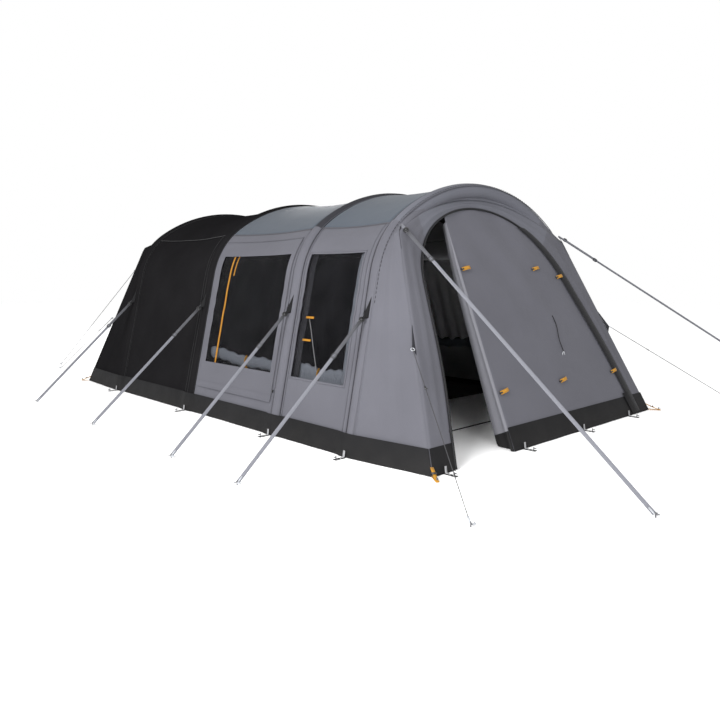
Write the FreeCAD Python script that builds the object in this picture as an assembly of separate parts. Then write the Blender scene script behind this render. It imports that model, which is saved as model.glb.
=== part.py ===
"""An inflatable four-beam tunnel tent, modelled piece by piece in millimetres.

The tent stands on z = 0 with its door at -Y. Its cross-section is one arch: a leaning wall line, a
shoulder arc and a roof arc. Every arch lies in a plane that leans back by BEAM_TILT. A place on an
arch is given by d, the depth inside the outer line, and s, the height along the leaning plane.
"""

import FreeCAD
import Part

import math
import os

V = FreeCAD.Vector

# Driving dimensions of the arches.
HALF_WIDTH = 1715.0
HEIGHT = 2100.0
WALL_LEAN = math.radians(15.28)
WALL_TOP = 1328.0  # height where the straight wall turns into the shoulder
SHOULDER_R = 821.0
BEAM_Y = (-2085.0, -1145.0, 265.0, 1845.0)  # where each beam meets the ground
BEAM_TILT = math.atan(0.07)

# Air beams and their sleeves.
SLEEVE_R = 62.0
SLEEVE_WALL = 1.6
BLADDER_R = 59.5
BLADDER_WALL = 1.0
BEAM_DEPTH = SLEEVE_R  # depth of a beam's centre line inside the outer line
BLADDER_END = 28.0
PLUG_LENGTH = 12.0
CLEAR = 0.6  # cloth to sleeve

# Cloth shells.
SKIN_DEPTH = 20.0
CLOTH = 2.0
SKIN_EDGE = 52.0  # how far a bay's cloth stays from the beam's centre plane
HEM = 4.0
EAVE = 1722.0
SKIRT_TOP = 170.0
SKIRT_CLOTH = 2.0

# The sloping ends: foot of the plane, slope, half-width at the ground.
FRONT_Y = -2835.0
FRONT_SLOPE = 0.45
FRONT_HALF = 1618.0
REAR_Y = 2785.0
REAR_SLOPE = 0.42
REAR_HALF = 1673.0
END_SHOULDER = (1190.0, 1630.0)  # x and height of the corner seams' tops
FRONT_APEX = 1950.0
REAR_APEX = 1905.0
SEAM_GAP = 3.0
SEAM_FOOT = 12.0
SEAM_LAP = 1.1  # how far the corner cloth starts towards a sleeve's outer side, at the ground

# The front doorway, in its sloping plane.
DOORWAY_HEIGHT = 2051.0
DOORWAY = dict(
    half_width=1385.0, lean=math.radians(15.35), wall_top=1371.0, shoulder_r=860.0, height=DOORWAY_HEIGHT,
)
DOOR_FOLD_X = 385.0
DOOR_GAP = 3.0
SKIRT_FOLD_GAP = 14.0
DOOR_FREE_X = (-685.0, -580.0)  # free edge at the ground and at the top
FLAP_DEPTH = 160.0
FLAP_TURN = math.radians(18.0)
FLAP_SHARE = 0.9  # how far up the free edge the folded side reaches

# The side door in the middle left wall, as (front, rear, bottom, top).
SIDE_DOOR = (-1050.0, 170.0, 258.0, 1642.0)
MIDDLE_WINDOW = (-985.0, 85.0, 490.0, 1500.0)
FRONT_WINDOW = (-1925.0, -1275.0, 490.0, 1490.0)
PANE = 1.0
PANE_INSET = 1.0  # pane to the edge of its opening
SIDE_DOOR_INSET = 2.0

# The bedroom and the floor.
INNER_DEPTH = 156.0
INNER_CLOTH = 1.5
INNER_START = 85.0  # behind beam 3
INNER_BACK_GAP = 60.0
BEDROOM_DOOR = (250.0, 950.0, 120.0, 1560.0)  # x from, x to, z from, z to
FLOOR_HALF = 1560.0
FLOOR_FRONT = -1155.0
FLOOR_REAR = 2738.0
FLOOR_EDGE = 70.0
FLOOR_CLOTH = 2.0

# Straps, guys, runners and pegs.
STRAP_W, STRAP_T = 25.0, 1.6
GUY_R = 2.0
ANCHOR_S = 1035.0
SIDE_PEG_X = 2640.0
SIDE_PEG_Y = (-2095.0, -1225.0, 220.0, 1695.0)
RUNNER_FROM_ANCHOR = 450.0
RUNNER = (38.0, 34.0, 8.0)
RUNNER_SLOT = (28.0, 4.2)
GUY_RUNNER = (26.0, 14.0, 8.0)
GUY_RUNNER_SLOT = (5.0, 5.0)
GUY_RUNNER_FROM_ANCHOR = 420.0
PEG_R = 4.0
PEG_TOP = 30.0
PEG_ARM = 22.0
PEG_ARM_R = 3.2
STRAP_END_Z = 14.0
STRAP_END_GAP = 8.0
FRONT_ANCHOR = V(1125.0, -2062.0, 1690.0)
FRONT_PEGS = (V(-1290.0, -4140.0, 0), V(2178.0, -4361.0, 0))
FRONT_RUNNER_FROM_ANCHOR = 420.0
CORNER_ANCHOR = V(1441.0, -2476.0, 812.0)
CORNER_PEGS = (V(-2135.0, -3535.0, 0), V(1943.0, -3725.0, 0))
REAR_HIGH = (V(1110.0, 2123.0, 1600.0), V(1385.0, 4602.0, 0))
REAR_LOW = (V(1474.0, 2452.0, 800.0), V(1545.0, 4162.0, 0))
LADDER = (95.0, 30.0, 2.5)
LADDER_SLOT = (14.0, 18.0)
LADDER_GAPS = (0.35, 0.8)  # middles of the gaps, as parts of the ladder's length
FRONT_EDGE_PEGS = (-1500.0, -560.0, 340.0, 1180.0)
REAR_EDGE_PEGS = (-560.0, 560.0)
CORNER_PULL = V(145.0, 221.0, 0)
CORNER_LOOP_GAP = (12.0, 14.0)  # corner loops stand off the corners by this much, x and y

# Zips and valve.
ZIP_BLOCK = (12.0, 8.0, 24.0)
ZIP_GAP = 1.0  # slider to cloth
ZIP_BESIDE = 4.0  # slider to the edge that it runs along
SIDE_ZIP_S = 330.0
FRONT_ZIP_S = 250.0
VALVE_S = 350.0
VALVE_FLANGE_R, VALVE_FLANGE = 30.0, 3.0
VALVE_NECK_R, VALVE_NECK = 16.0, 12.0
VALVE_BORE_R, VALVE_BORE_FLOOR = 10.0, 5.0
VALVE_CAP_R, VALVE_CAP_LENGTH = 20.0, 12.0
VALVE_CAP_START = 4.5
VALVE_CAP_SPACE = 11.2
VALVE_GRIP = (8.0, 28.0, 6.0)
LINK_S = 520.0
LINK_R = 6.0
LINK_BORE = 4.5
CLAMP_R = 11.0
CLAMP_LENGTH = 26.0
CLAMP_GAP = 0.3

FAR = 4000.0


class Arch:
    """The tent's or the doorway's outline, and the same line moved inwards."""

    def __init__(self, half_width, lean, wall_top, shoulder_r, height):
        self.half_width, self.lean, self.r1, self.height = half_width, lean, shoulder_r, height
        foot_x = half_width - wall_top * math.tan(lean)
        self.c1 = (foot_x - shoulder_r * math.cos(lean), wall_top - shoulder_r * math.sin(lean))
        rise = height - self.c1[1]
        self.r2 = (self.c1[0] ** 2 + rise ** 2 - shoulder_r ** 2) / (2 * (rise - shoulder_r))
        self.c2 = height - self.r2
        self.turn = math.atan2(self.c1[1] - self.c2, self.c1[0])  # direction of the arcs' joint

    def shoulder(self, d, angle):
        r = self.r1 - d
        return V(self.c1[0] + r * math.cos(angle), 0, self.c1[1] + r * math.sin(angle))

    def foot(self, d, s):
        return V(self.half_width - d / math.cos(self.lean) - s * math.tan(self.lean), 0, s)

    def top(self, d):
        return V(0, 0, self.height - d)

    def half(self, d, s):
        """Half the width at height s."""
        if s <= self.shoulder(d, self.lean).z:
            return self.foot(d, s).x
        if s <= self.shoulder(d, self.turn).z:
            return self.c1[0] + math.sqrt((self.r1 - d) ** 2 - (s - self.c1[1]) ** 2)
        return math.sqrt((self.r2 - d) ** 2 - (s - self.c2) ** 2)

    def nearest(self, d, x, s):
        """The point of the line at depth d nearest to (x, s), and the outward direction there."""
        side = -1 if x < 0 else 1
        x = abs(x)
        from_c1 = math.atan2(s - self.c1[1], x - self.c1[0])
        if math.atan2(s - self.c2, x) > self.turn:
            centre, r, angle = (0.0, self.c2), self.r2 - d, math.atan2(s - self.c2, x)
        elif x > self.c1[0] and from_c1 > self.lean:
            centre, r, angle = self.c1, self.r1 - d, from_c1
        else:
            out = V(math.cos(self.lean), 0, math.sin(self.lean))
            foot = self.foot(d, 0)
            point = V(x, 0, s)
            point = point - out * (point - foot).dot(out)
            return V(side * point.x, 0, max(point.z, HEM)), V(side * out.x, 0, out.z)
        out = V(math.cos(angle), 0, math.sin(angle))
        return V(side * (centre[0] + r * out.x), 0, centre[1] + r * out.z), V(side * out.x, 0, out.z)

    def line(self, d, s=0.0):
        """Edges from the left foot over the top to the right foot."""
        mid = (self.lean + self.turn) / 2
        right = [self.foot(d, s)] + [self.shoulder(d, angle) for angle in (self.lean, mid, self.turn)]
        left = [V(-p.x, 0, p.z) for p in right]
        return [
            Part.makeLine(left[0], left[1]),
            Part.Arc(left[1], left[2], left[3]).toShape(),
            Part.Arc(left[3], self.top(d), right[3]).toShape(),
            Part.Arc(right[3], right[2], right[1]).toShape(),
            Part.makeLine(right[1], right[0]),
        ]

    def face(self, d, s=0.0):
        """The area under the line at depth d, down to height s."""
        edges = self.line(d, s)
        base = Part.makeLine(self.foot(d, s), V(-self.foot(d, s).x, 0, s))
        return Part.Face(Part.Wire(edges + [base]))


TENT = Arch(HALF_WIDTH, WALL_LEAN, WALL_TOP, SHOULDER_R, HEIGHT)
DOOR_ARCH = Arch(**DOORWAY)


def polygon(points):
    return Part.Face(Part.makePolygon(points + [points[0]]))


def rectangle(x0, x1, s0, s1):
    return polygon([V(x0, 0, s0), V(x1, 0, s0), V(x1, 0, s1), V(x0, 0, s1)])


def leaned(shape, angle, foot_y):
    """Leans a shape drawn in the XZ plane back by angle, with its foot at foot_y."""
    shape = shape.copy()
    shape.rotate(V(0, 0, 0), V(1, 0, 0), -math.degrees(angle))
    shape.translate(V(0, foot_y, 0))
    return shape


def on_beam(point, foot_y):
    """A point of the arch plane, placed on the beam whose foot is at foot_y."""
    return V(point.x, foot_y + point.z * math.sin(BEAM_TILT), point.z * math.cos(BEAM_TILT))


def above_ground(shape):
    return shape.common(Part.makeBox(2 * FAR, 4 * FAR, FAR, V(-FAR, -2 * FAR, 0)))


def bay_shell(bay, depth, cloth, s0, s1, side):
    """A cloth shell between the sleeves of a bay's two beams; side is -1 left, 1 right or 0 both."""
    y0, y1 = BEAM_Y[bay] + SKIN_EDGE, BEAM_Y[bay + 1] - SKIN_EDGE
    ring = TENT.face(depth).cut(TENT.face(depth + cloth))
    x0, x1 = (-FAR if side < 1 else 0, FAR if side > -1 else 0)
    band = ring.common(rectangle(x0, x1, s0, s1))
    return leaned(band, BEAM_TILT, y0).extrude(V(0, y1 - y0, 0))


def side_prism(front, rear, bottom, top, side, inset=0.0):
    """A prism through one side wall, with its upright edges parallel to the beams."""
    front, rear, bottom, top = front + inset, rear - inset, bottom + inset, top - inset
    slope = math.tan(BEAM_TILT)
    corners = [(front, bottom), (rear, bottom), (rear, top), (front, top)]
    face = polygon([V(0, y + slope * z, z) for y, z in corners])
    return face.extrude(V(side * FAR, 0, 0))


def tube(path, radius, wall):
    """A round tube along a path that starts at the left foot."""
    start = path[0].valueAt(path[0].FirstParameter)
    ahead = path[0].tangentAt(path[0].FirstParameter)
    outer = Part.Wire(Part.makeCircle(radius, start, ahead))
    inner = Part.Wire(Part.makeCircle(radius - wall, start, ahead))
    spine = Part.Wire(path)
    return spine.makePipeShell([outer], True, False).cut(spine.makePipeShell([inner], True, False))


def air_beam(foot_y):
    """A gas-tight bladder and the two plugs welded into its feet."""
    pieces = [tube(TENT.line(BEAM_DEPTH, BLADDER_END), BLADDER_R, BLADDER_WALL)]
    for side in (-1, 1):
        foot = TENT.foot(BEAM_DEPTH, BLADDER_END)
        up = V(-math.sin(WALL_LEAN) * side, 0, math.cos(WALL_LEAN))
        start = V(side * foot.x, 0, foot.z) - up * PLUG_LENGTH
        pieces.append(Part.makeCylinder(BLADDER_R, PLUG_LENGTH, start, up))
    return leaned(Part.makeCompound(pieces), BEAM_TILT, foot_y)


def beam_sleeve(foot_y):
    sleeve = tube(TENT.line(BEAM_DEPTH, -SLEEVE_R), SLEEVE_R, SLEEVE_WALL)
    return above_ground(leaned(sleeve, BEAM_TILT, foot_y))


def end_plane(foot_y, slope, outward):
    """The lean and a function that gives the 3D point of (x, height) on a sloping end."""
    angle = math.atan(slope) * -outward
    return angle, lambda x, z: V(x, foot_y - outward * slope * z, z)


def end_outline(half, slope, apex):
    """The outline of a sloping end as a face in its own plane: two corner seams and a flat arc."""
    stretch = math.sqrt(1 + slope ** 2)
    x, z = END_SHOULDER[0], END_SHOULDER[1] * stretch
    corners = [V(-half, 0, HEM), V(-x, 0, z), V(x, 0, z), V(half, 0, HEM)]
    edges = [
        Part.makeLine(corners[0], corners[1]),
        Part.Arc(corners[1], V(0, 0, apex * stretch), corners[2]).toShape(),
        Part.makeLine(corners[2], corners[3]),
        Part.makeLine(corners[3], corners[0]),
    ]
    return Part.Face(Part.Wire(edges))


def end_panel(face, slope, foot_y, outward, cloth=CLOTH, offset=0.0):
    """A plate in a sloping end; offset moves it outwards, square to the plane."""
    plate = face.copy()
    plate.translate(V(0, outward * offset - cloth / 2, 0))
    plate = plate.extrude(V(0, cloth, 0))
    return leaned(plate, math.atan(slope) * -outward, foot_y)


def end_strip(half, slope, foot_y, outward, beam_y, stations):
    """Cloth from an end beam's sleeve to the edge of the sloping end.

    A station is a pair (x, height) on the end's edge and how far round the sleeve the cloth starts.
    """
    forward = V(0, outward, 0)
    plane = end_plane(foot_y, slope, outward)[1]
    starts, ends = [], []
    for x, z, lap in stations:
        edge = plane(x, z)
        near, out = TENT.nearest(BEAM_DEPTH, x, z)
        centre = on_beam(near, beam_y)
        toward = (edge - centre).normalize()
        around = (forward + toward + out * lap).normalize()
        start = centre + around * (SLEEVE_R + CLEAR + CLOTH)
        run = (edge - start).normalize()
        starts.append(start)
        ends.append(edge - run * SEAM_GAP)
    sections = []
    last = len(stations) - 1
    for i, (start, end) in enumerate(zip(starts, ends)):
        low, high = max(i - 1, 0), min(i + 1, last)
        along = (starts[high] + ends[high]) - (starts[low] + ends[low])
        up = along.cross(end - start).normalize() * (CLOTH / 2)
        sections.append(Part.makePolygon([start + up, end + up, end - up, start - up, start + up]))
    return Part.makeLoft(sections, True, True)


def seam_stations(half, side, steps=16):
    """Stations up one corner seam."""
    x1, z1 = END_SHOULDER
    for i in range(steps + 1):
        t = i / steps
        z = SEAM_FOOT + (z1 - SEAM_FOOT) * t
        yield side * (half + (x1 - half) * t), z, SEAM_LAP * (1 - t * t)


def crown_stations(slope, apex, steps=32):
    """Stations over the top of a sloping end."""
    x1, z1 = END_SHOULDER
    stretch = math.sqrt(1 + slope ** 2)
    drop = (apex - z1) * stretch
    r = (x1 ** 2 + drop ** 2) / (2 * drop)
    reach = x1 - 2 * SEAM_GAP
    for i in range(steps + 1):
        x = -reach + 2 * reach * i / steps
        yield x, apex - (r - math.sqrt(r * r - x * x)) / stretch, 0.0


def gores(half, slope, foot_y, outward, beam_y):
    return Part.makeCompound([
        end_strip(half, slope, foot_y, outward, beam_y, list(seam_stations(half, side))) for side in (-1, 1)
    ])


def hoods():
    front = list(crown_stations(FRONT_SLOPE, FRONT_APEX))
    rear = list(crown_stations(REAR_SLOPE, REAR_APEX))
    return Part.makeCompound([
        end_strip(FRONT_HALF, FRONT_SLOPE, FRONT_Y, -1, BEAM_Y[0], front),
        end_strip(REAR_HALF, REAR_SLOPE, REAR_Y, 1, BEAM_Y[3], rear),
    ])


def front_frame():
    """The two posts and the arched band around the doorway."""
    face = end_outline(FRONT_HALF, FRONT_SLOPE, FRONT_APEX).cut(DOOR_ARCH.face(0))
    return end_panel(face, FRONT_SLOPE, FRONT_Y, -1)


def doorway_part(x_low, x_high, s0=HEM, s1=FAR):
    """Part of the doorway between two edges, each given at the ground and at the top."""
    top = DOORWAY_HEIGHT
    edges = polygon([V(x_low[0], 0, 0), V(x_high[0], 0, 0), V(x_high[1], 0, top), V(x_low[1], 0, top)])
    return DOOR_ARCH.face(SEAM_GAP).common(edges).common(rectangle(-FAR, FAR, s0, s1))


def front_panel():
    x = DOOR_FOLD_X + DOOR_GAP
    face = doorway_part((x, x), (HALF_WIDTH, HALF_WIDTH))
    return end_panel(face, FRONT_SLOPE, FRONT_Y, -1)


def front_door():
    x = DOOR_FOLD_X - DOOR_GAP
    face = doorway_part(DOOR_FREE_X, (x, x))
    return end_panel(face, FRONT_SLOPE, FRONT_Y, -1)


def front_door_flap():
    """The door's folded-back side, which stands inwards from its free edge."""
    low, high = DOOR_FREE_X
    top = DOORWAY_HEIGHT * FLAP_SHARE
    across = V(math.sin(FLAP_TURN), math.cos(FLAP_TURN), 0)
    start = across * (CLOTH + 1)
    foot, head = V(low, 0, HEM) + start, V(low + (high - low) * FLAP_SHARE, 0, top) + start
    reach = across * (FLAP_DEPTH - CLOTH)
    face = polygon([foot, foot + reach, head + reach * 0.5, head])
    return above_ground(leaned(face.extrude(V(CLOTH, 0, 0)), math.atan(FRONT_SLOPE), FRONT_Y + HEM))


def front_skirt(x0, x1):
    """A strip of mud skirt outside the foot of the sloping front."""
    face = end_outline(FRONT_HALF, FRONT_SLOPE, FRONT_APEX).common(rectangle(x0, x1, 0, SKIRT_TOP))
    return end_panel(face, FRONT_SLOPE, FRONT_Y, -1, SKIRT_CLOTH, CLOTH / 2 + SKIRT_CLOTH)


def rear_skirt():
    face = end_outline(REAR_HALF, REAR_SLOPE, REAR_APEX).common(rectangle(-FAR, FAR, 0, SKIRT_TOP))
    return end_panel(face, REAR_SLOPE, REAR_Y, 1, SKIRT_CLOTH, CLOTH / 2 + SKIRT_CLOTH)


def side_skirt(side):
    """The mud skirt along one side, from corner to corner, outside the beams' feet."""
    lean = math.tan(WALL_LEAN)
    top = SKIRT_TOP
    x1, z1 = END_SHOULDER
    places = []
    for half, foot_y, slope in ((FRONT_HALF, FRONT_Y, FRONT_SLOPE), (REAR_HALF, REAR_Y, -REAR_SLOPE)):
        in_by = (half - x1) * top / z1
        x = half + CLOTH + 3 * SKIRT_CLOTH
        places.append((x, foot_y, x - in_by, foot_y + slope * top))
    for y in (BEAM_Y[0], BEAM_Y[3]):
        x = HALF_WIDTH + 5 * SKIRT_CLOTH
        places.insert(-1, (x, y, x - lean * top, y + math.tan(BEAM_TILT) * top))
    sections = []
    for x_foot, y_foot, x_top, y_top in places:
        corners = [V(x_foot, y_foot, 0), V(x_top, y_top, top)]
        corners += [V(x_top - SKIRT_CLOTH, y_top, top), V(x_foot - SKIRT_CLOTH, y_foot, 0)]
        corners = [V(side * p.x, p.y, p.z) for p in corners]
        sections.append(Part.makePolygon(corners + [corners[0]]))
    return Part.makeLoft(sections, True, True)


def side_wall(side, bay, window=None):
    shell = bay_shell(bay, SKIN_DEPTH, CLOTH, HEM, EAVE, side)
    if window is None:
        return shell
    return shell.cut(side_prism(*window, side))


def pane(side, bay, window):
    shell = bay_shell(bay, SKIN_DEPTH + (CLOTH - PANE) / 2, PANE, HEM, EAVE, side)
    return shell.common(side_prism(*window, side, PANE_INSET))


def roof(bay):
    return bay_shell(bay, SKIN_DEPTH, CLOTH, EAVE + 1, FAR, 0)


def side_door():
    shell = side_wall(-1, 1).common(side_prism(*SIDE_DOOR, -1, SIDE_DOOR_INSET))
    return shell.cut(side_prism(*MIDDLE_WINDOW, -1))


def inner_tent_body():
    """The bedroom's walls, roof and back: open below and in front."""
    front = BEAM_Y[2] + INNER_START
    outer = leaned(TENT.face(INNER_DEPTH, 2 * HEM), BEAM_TILT, front).extrude(V(0, FAR, 0))
    inner = leaned(TENT.face(INNER_DEPTH + INNER_CLOTH, 0), BEAM_TILT, front - FAR).extrude(V(0, 2 * FAR, 0))
    back = REAR_Y - INNER_BACK_GAP
    wedge = [V(-FAR, back, 0), V(-FAR, back - REAR_SLOPE * FAR, FAR), V(-FAR, -FAR, FAR), V(-FAR, -FAR, 0)]
    keep = polygon(wedge).extrude(V(2 * FAR, 0, 0))
    hollow = keep.copy()
    hollow.translate(V(0, -INNER_CLOTH, 0))
    return outer.common(keep).cut(inner.common(hollow))


def inner_tent_front():
    """The bedroom's front wall, with its doorway on the right open."""
    x0, x1, z0, z1 = BEDROOM_DOOR
    face = TENT.face(INNER_DEPTH, 2 * HEM).cut(rectangle(x0, x1, z0, z1))
    start = BEAM_Y[2] + INNER_START - INNER_CLOTH - 1
    return leaned(face, BEAM_TILT, start).extrude(V(0, INNER_CLOTH, 0))


def groundsheet():
    """A flat floor with low upstanding sides and back."""
    length = FLOOR_REAR - FLOOR_FRONT
    block = Part.makeBox(2 * FLOOR_HALF, length, FLOOR_EDGE, V(-FLOOR_HALF, FLOOR_FRONT, 0))
    space = Part.makeBox(
        2 * (FLOOR_HALF - FLOOR_CLOTH), length, FLOOR_EDGE,
        V(-FLOOR_HALF + FLOOR_CLOTH, FLOOR_FRONT - FLOOR_CLOTH, FLOOR_CLOTH),
    )
    return block.cut(space)


def ground_strap():
    """A web that holds the feet of the front beam together across the porch."""
    half = TENT.foot(2 * SLEEVE_R, 0).x - 3 * CLOTH
    return Part.makeBox(2 * half, STRAP_W, STRAP_T, V(-half, BEAM_Y[0] - STRAP_W / 2, 0))


def strap_frame(anchor, peg):
    """Ends of a strap from anchor to peg, and its placement with X along it and Y level."""
    end = V(peg.x, peg.y, STRAP_END_Z)
    along = (end - anchor).normalize()
    end = end - along * STRAP_END_GAP
    level = V(0, 0, 1).cross(along).normalize()
    turn = FreeCAD.Rotation(along, level, along.cross(level), "XYZ")
    return end, along, FreeCAD.Placement(anchor, turn)


def flat_strap(anchor, peg):
    end, _, place = strap_frame(anchor, peg)
    strap = Part.makeBox((end - anchor).Length, STRAP_W, STRAP_T, V(0, -STRAP_W / 2, -STRAP_T / 2))
    strap.Placement = place
    return strap


def round_guy(anchor, peg):
    end, along, _ = strap_frame(anchor, peg)
    return Part.makeCylinder(GUY_R, (end - anchor).Length, anchor, along)


def runner(anchor, foot, distance, size=RUNNER, slot=RUNNER_SLOT):
    """A ladder buckle that grips a strap, at a distance from the strap's anchor."""
    length, width, height = size
    block = Part.makeBox(length, width, height, V(distance - length / 2, -width / 2, -height / 2))
    hole = Part.makeBox(2 * length, slot[0], slot[1], V(distance - length, -slot[0] / 2, -slot[1] / 2))
    block = block.cut(hole)
    block.Placement = strap_frame(anchor, foot)[2]
    return block


def side_anchor(side, beam):
    point = TENT.foot(-3.0, ANCHOR_S)
    return on_beam(V(side * point.x, 0, point.z), BEAM_Y[beam])


def side_peg(side, beam):
    return V(side * SIDE_PEG_X, SIDE_PEG_Y[beam], 0)


def mirrored(point, side):
    return V(side * point.x, point.y, point.z)


def guy_routes():
    """Anchor and peg of the six thin guys."""
    for side, peg in zip((-1, 1), CORNER_PEGS):
        yield mirrored(CORNER_ANCHOR, side), peg
    for side in (-1, 1):
        for anchor, peg in (REAR_HIGH, REAR_LOW):
            yield mirrored(anchor, side), mirrored(peg, side)


def foot_places():
    """Ground points and outward directions of the ladder loops."""
    for side in (-1, 1):
        for y in BEAM_Y:
            yield V(side * (HALF_WIDTH + 7 * SKIRT_CLOTH), y, 0), V(side, 0, 0)
    for x in FRONT_EDGE_PEGS:
        yield V(x, FRONT_Y - 4 * SKIRT_CLOTH, 0), V(0, -1, 0)
    for x in REAR_EDGE_PEGS:
        yield V(x, REAR_Y + 4 * SKIRT_CLOTH, 0), V(0, 1, 0)
    for side in (-1, 1):
        for end, half, foot_y in ((-1, FRONT_HALF, FRONT_Y), (1, REAR_HALF, REAR_Y)):
            corner = V(side * (half + CORNER_LOOP_GAP[0]), foot_y + end * CORNER_LOOP_GAP[1], 0)
            yield corner, V(side * CORNER_PULL.x, end * CORNER_PULL.y, 0).normalize()


def ladder_loop(place, out):
    """A flat webbing ladder with two gaps, lying on the ground."""
    length, width, thick = LADDER
    loop = Part.makeBox(length, width, thick, V(0, -width / 2, 0))
    along, across = LADDER_SLOT
    for part in LADDER_GAPS:
        corner = V(part * length - along / 2, -across / 2, -thick)
        loop = loop.cut(Part.makeBox(along, across, 3 * thick, corner))
    loop.Placement = FreeCAD.Placement(place, FreeCAD.Rotation(V(1, 0, 0), out))
    return loop


def peg(place, out):
    """The part of a peg that shows above the ground: a shank and its hooked arm."""
    shank = Part.makeCylinder(PEG_R, PEG_TOP, place)
    arm = Part.makeCylinder(PEG_ARM_R, PEG_ARM, place + V(0, 0, PEG_TOP - 2 * PEG_R), out)
    return shank.fuse(arm)


def all_pegs():
    places = [(place + out * (LADDER_GAPS[1] * LADDER[0]), out) for place, out in foot_places()]
    routes = [(side_anchor(s, b), side_peg(s, b)) for s in (-1, 1) for b in range(4)]
    routes += [(mirrored(FRONT_ANCHOR, s), p) for s, p in zip((-1, 1), FRONT_PEGS)] + list(guy_routes())
    for anchor, foot in routes:
        away = V(foot.x - anchor.x, foot.y - anchor.y, 0).normalize()
        places.append((foot, away))
    return Part.makeCompound([peg(place, out) for place, out in places])


def right_leg(d, s, beam):
    return on_beam(TENT.foot(d, s), BEAM_Y[beam])


def link_tubes():
    """Air tubes that join the beams on the right side, each with a pinch clamp."""
    pieces = []
    for beam in range(3):
        start = right_leg(BEAM_DEPTH, LINK_S, beam) + V(0, SLEEVE_R + CLEAR, 0)
        length = BEAM_Y[beam + 1] - BEAM_Y[beam] - 2 * (SLEEVE_R + CLEAR)
        along = V(0, 1, 0)
        bore = Part.makeCylinder(LINK_BORE, length, start, along)
        pieces.append(Part.makeCylinder(LINK_R, length, start, along).cut(bore))
        middle = start + along * (length / 2)
        hole = Part.makeCylinder(LINK_R + CLAMP_GAP, CLAMP_LENGTH, middle, along)
        pieces.append(Part.makeCylinder(CLAMP_R, CLAMP_LENGTH, middle, along).cut(hole))
    return Part.makeCompound(pieces)


def valve_axis():
    """A point on the front right leg's inner side and the direction into the tent."""
    inward = V(-math.cos(WALL_LEAN), 0, -math.sin(WALL_LEAN))
    return right_leg(2 * SLEEVE_R, VALVE_S, 0), inward


def valve_body():
    """A flange against the sleeve and a bored neck."""
    start, inward = valve_axis()
    face = start + inward * CLEAR
    flange = Part.makeCylinder(VALVE_FLANGE_R, VALVE_FLANGE, face, inward)
    neck = Part.makeCylinder(VALVE_NECK_R, VALVE_NECK, face + inward * VALVE_FLANGE, inward)
    bore = Part.makeCylinder(VALVE_BORE_R, VALVE_NECK, face + inward * VALVE_BORE_FLOOR, inward)
    return flange.fuse(neck).cut(bore)


def valve_cap():
    """A cup over the valve's neck with a finger bar across its face."""
    start, inward = valve_axis()
    rim = start + inward * (CLEAR + VALVE_CAP_START)
    cup = Part.makeCylinder(VALVE_CAP_R, VALVE_CAP_LENGTH, rim, inward)
    space = Part.makeCylinder(VALVE_NECK_R + 1, VALVE_CAP_SPACE, rim, inward)
    bar = Part.makeBox(*VALVE_GRIP, V(-VALVE_GRIP[0] / 2, -VALVE_GRIP[1] / 2, 0))
    face = rim + inward * (VALVE_CAP_LENGTH - 0.5)
    bar.Placement = FreeCAD.Placement(face, FreeCAD.Rotation(V(0, 0, 1), inward))
    return cup.cut(space).fuse(bar)


def side_zip_slider():
    """The side door's zip slider, on the wall strip beside the door's front edge."""
    wide, thick, tall = ZIP_BLOCK
    block = Part.makeBox(thick, wide, tall, V(-thick - ZIP_GAP, -wide / 2, 0))
    block.rotate(V(0, 0, 0), V(0, 1, 0), math.degrees(WALL_LEAN))
    foot = TENT.foot(SKIN_DEPTH, SIDE_ZIP_S)
    block.translate(V(-foot.x, 0, foot.z))
    return leaned(block, BEAM_TILT, SIDE_DOOR[0] - wide - ZIP_BESIDE)


def front_zip_slider():
    """The doorway's zip slider, on the left post beside the doorway's edge."""
    wide, thick, tall = ZIP_BLOCK
    block = Part.makeBox(wide, thick, tall, V(-wide - ZIP_BESIDE, -thick - CLOTH / 2 - ZIP_GAP, 0))
    block.rotate(V(0, 0, 0), V(0, 1, 0), math.degrees(DOOR_ARCH.lean))
    foot = DOOR_ARCH.foot(0, FRONT_ZIP_S)
    block.translate(V(-foot.x, 0, foot.z))
    return leaned(block, math.atan(FRONT_SLOPE), FRONT_Y)


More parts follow.
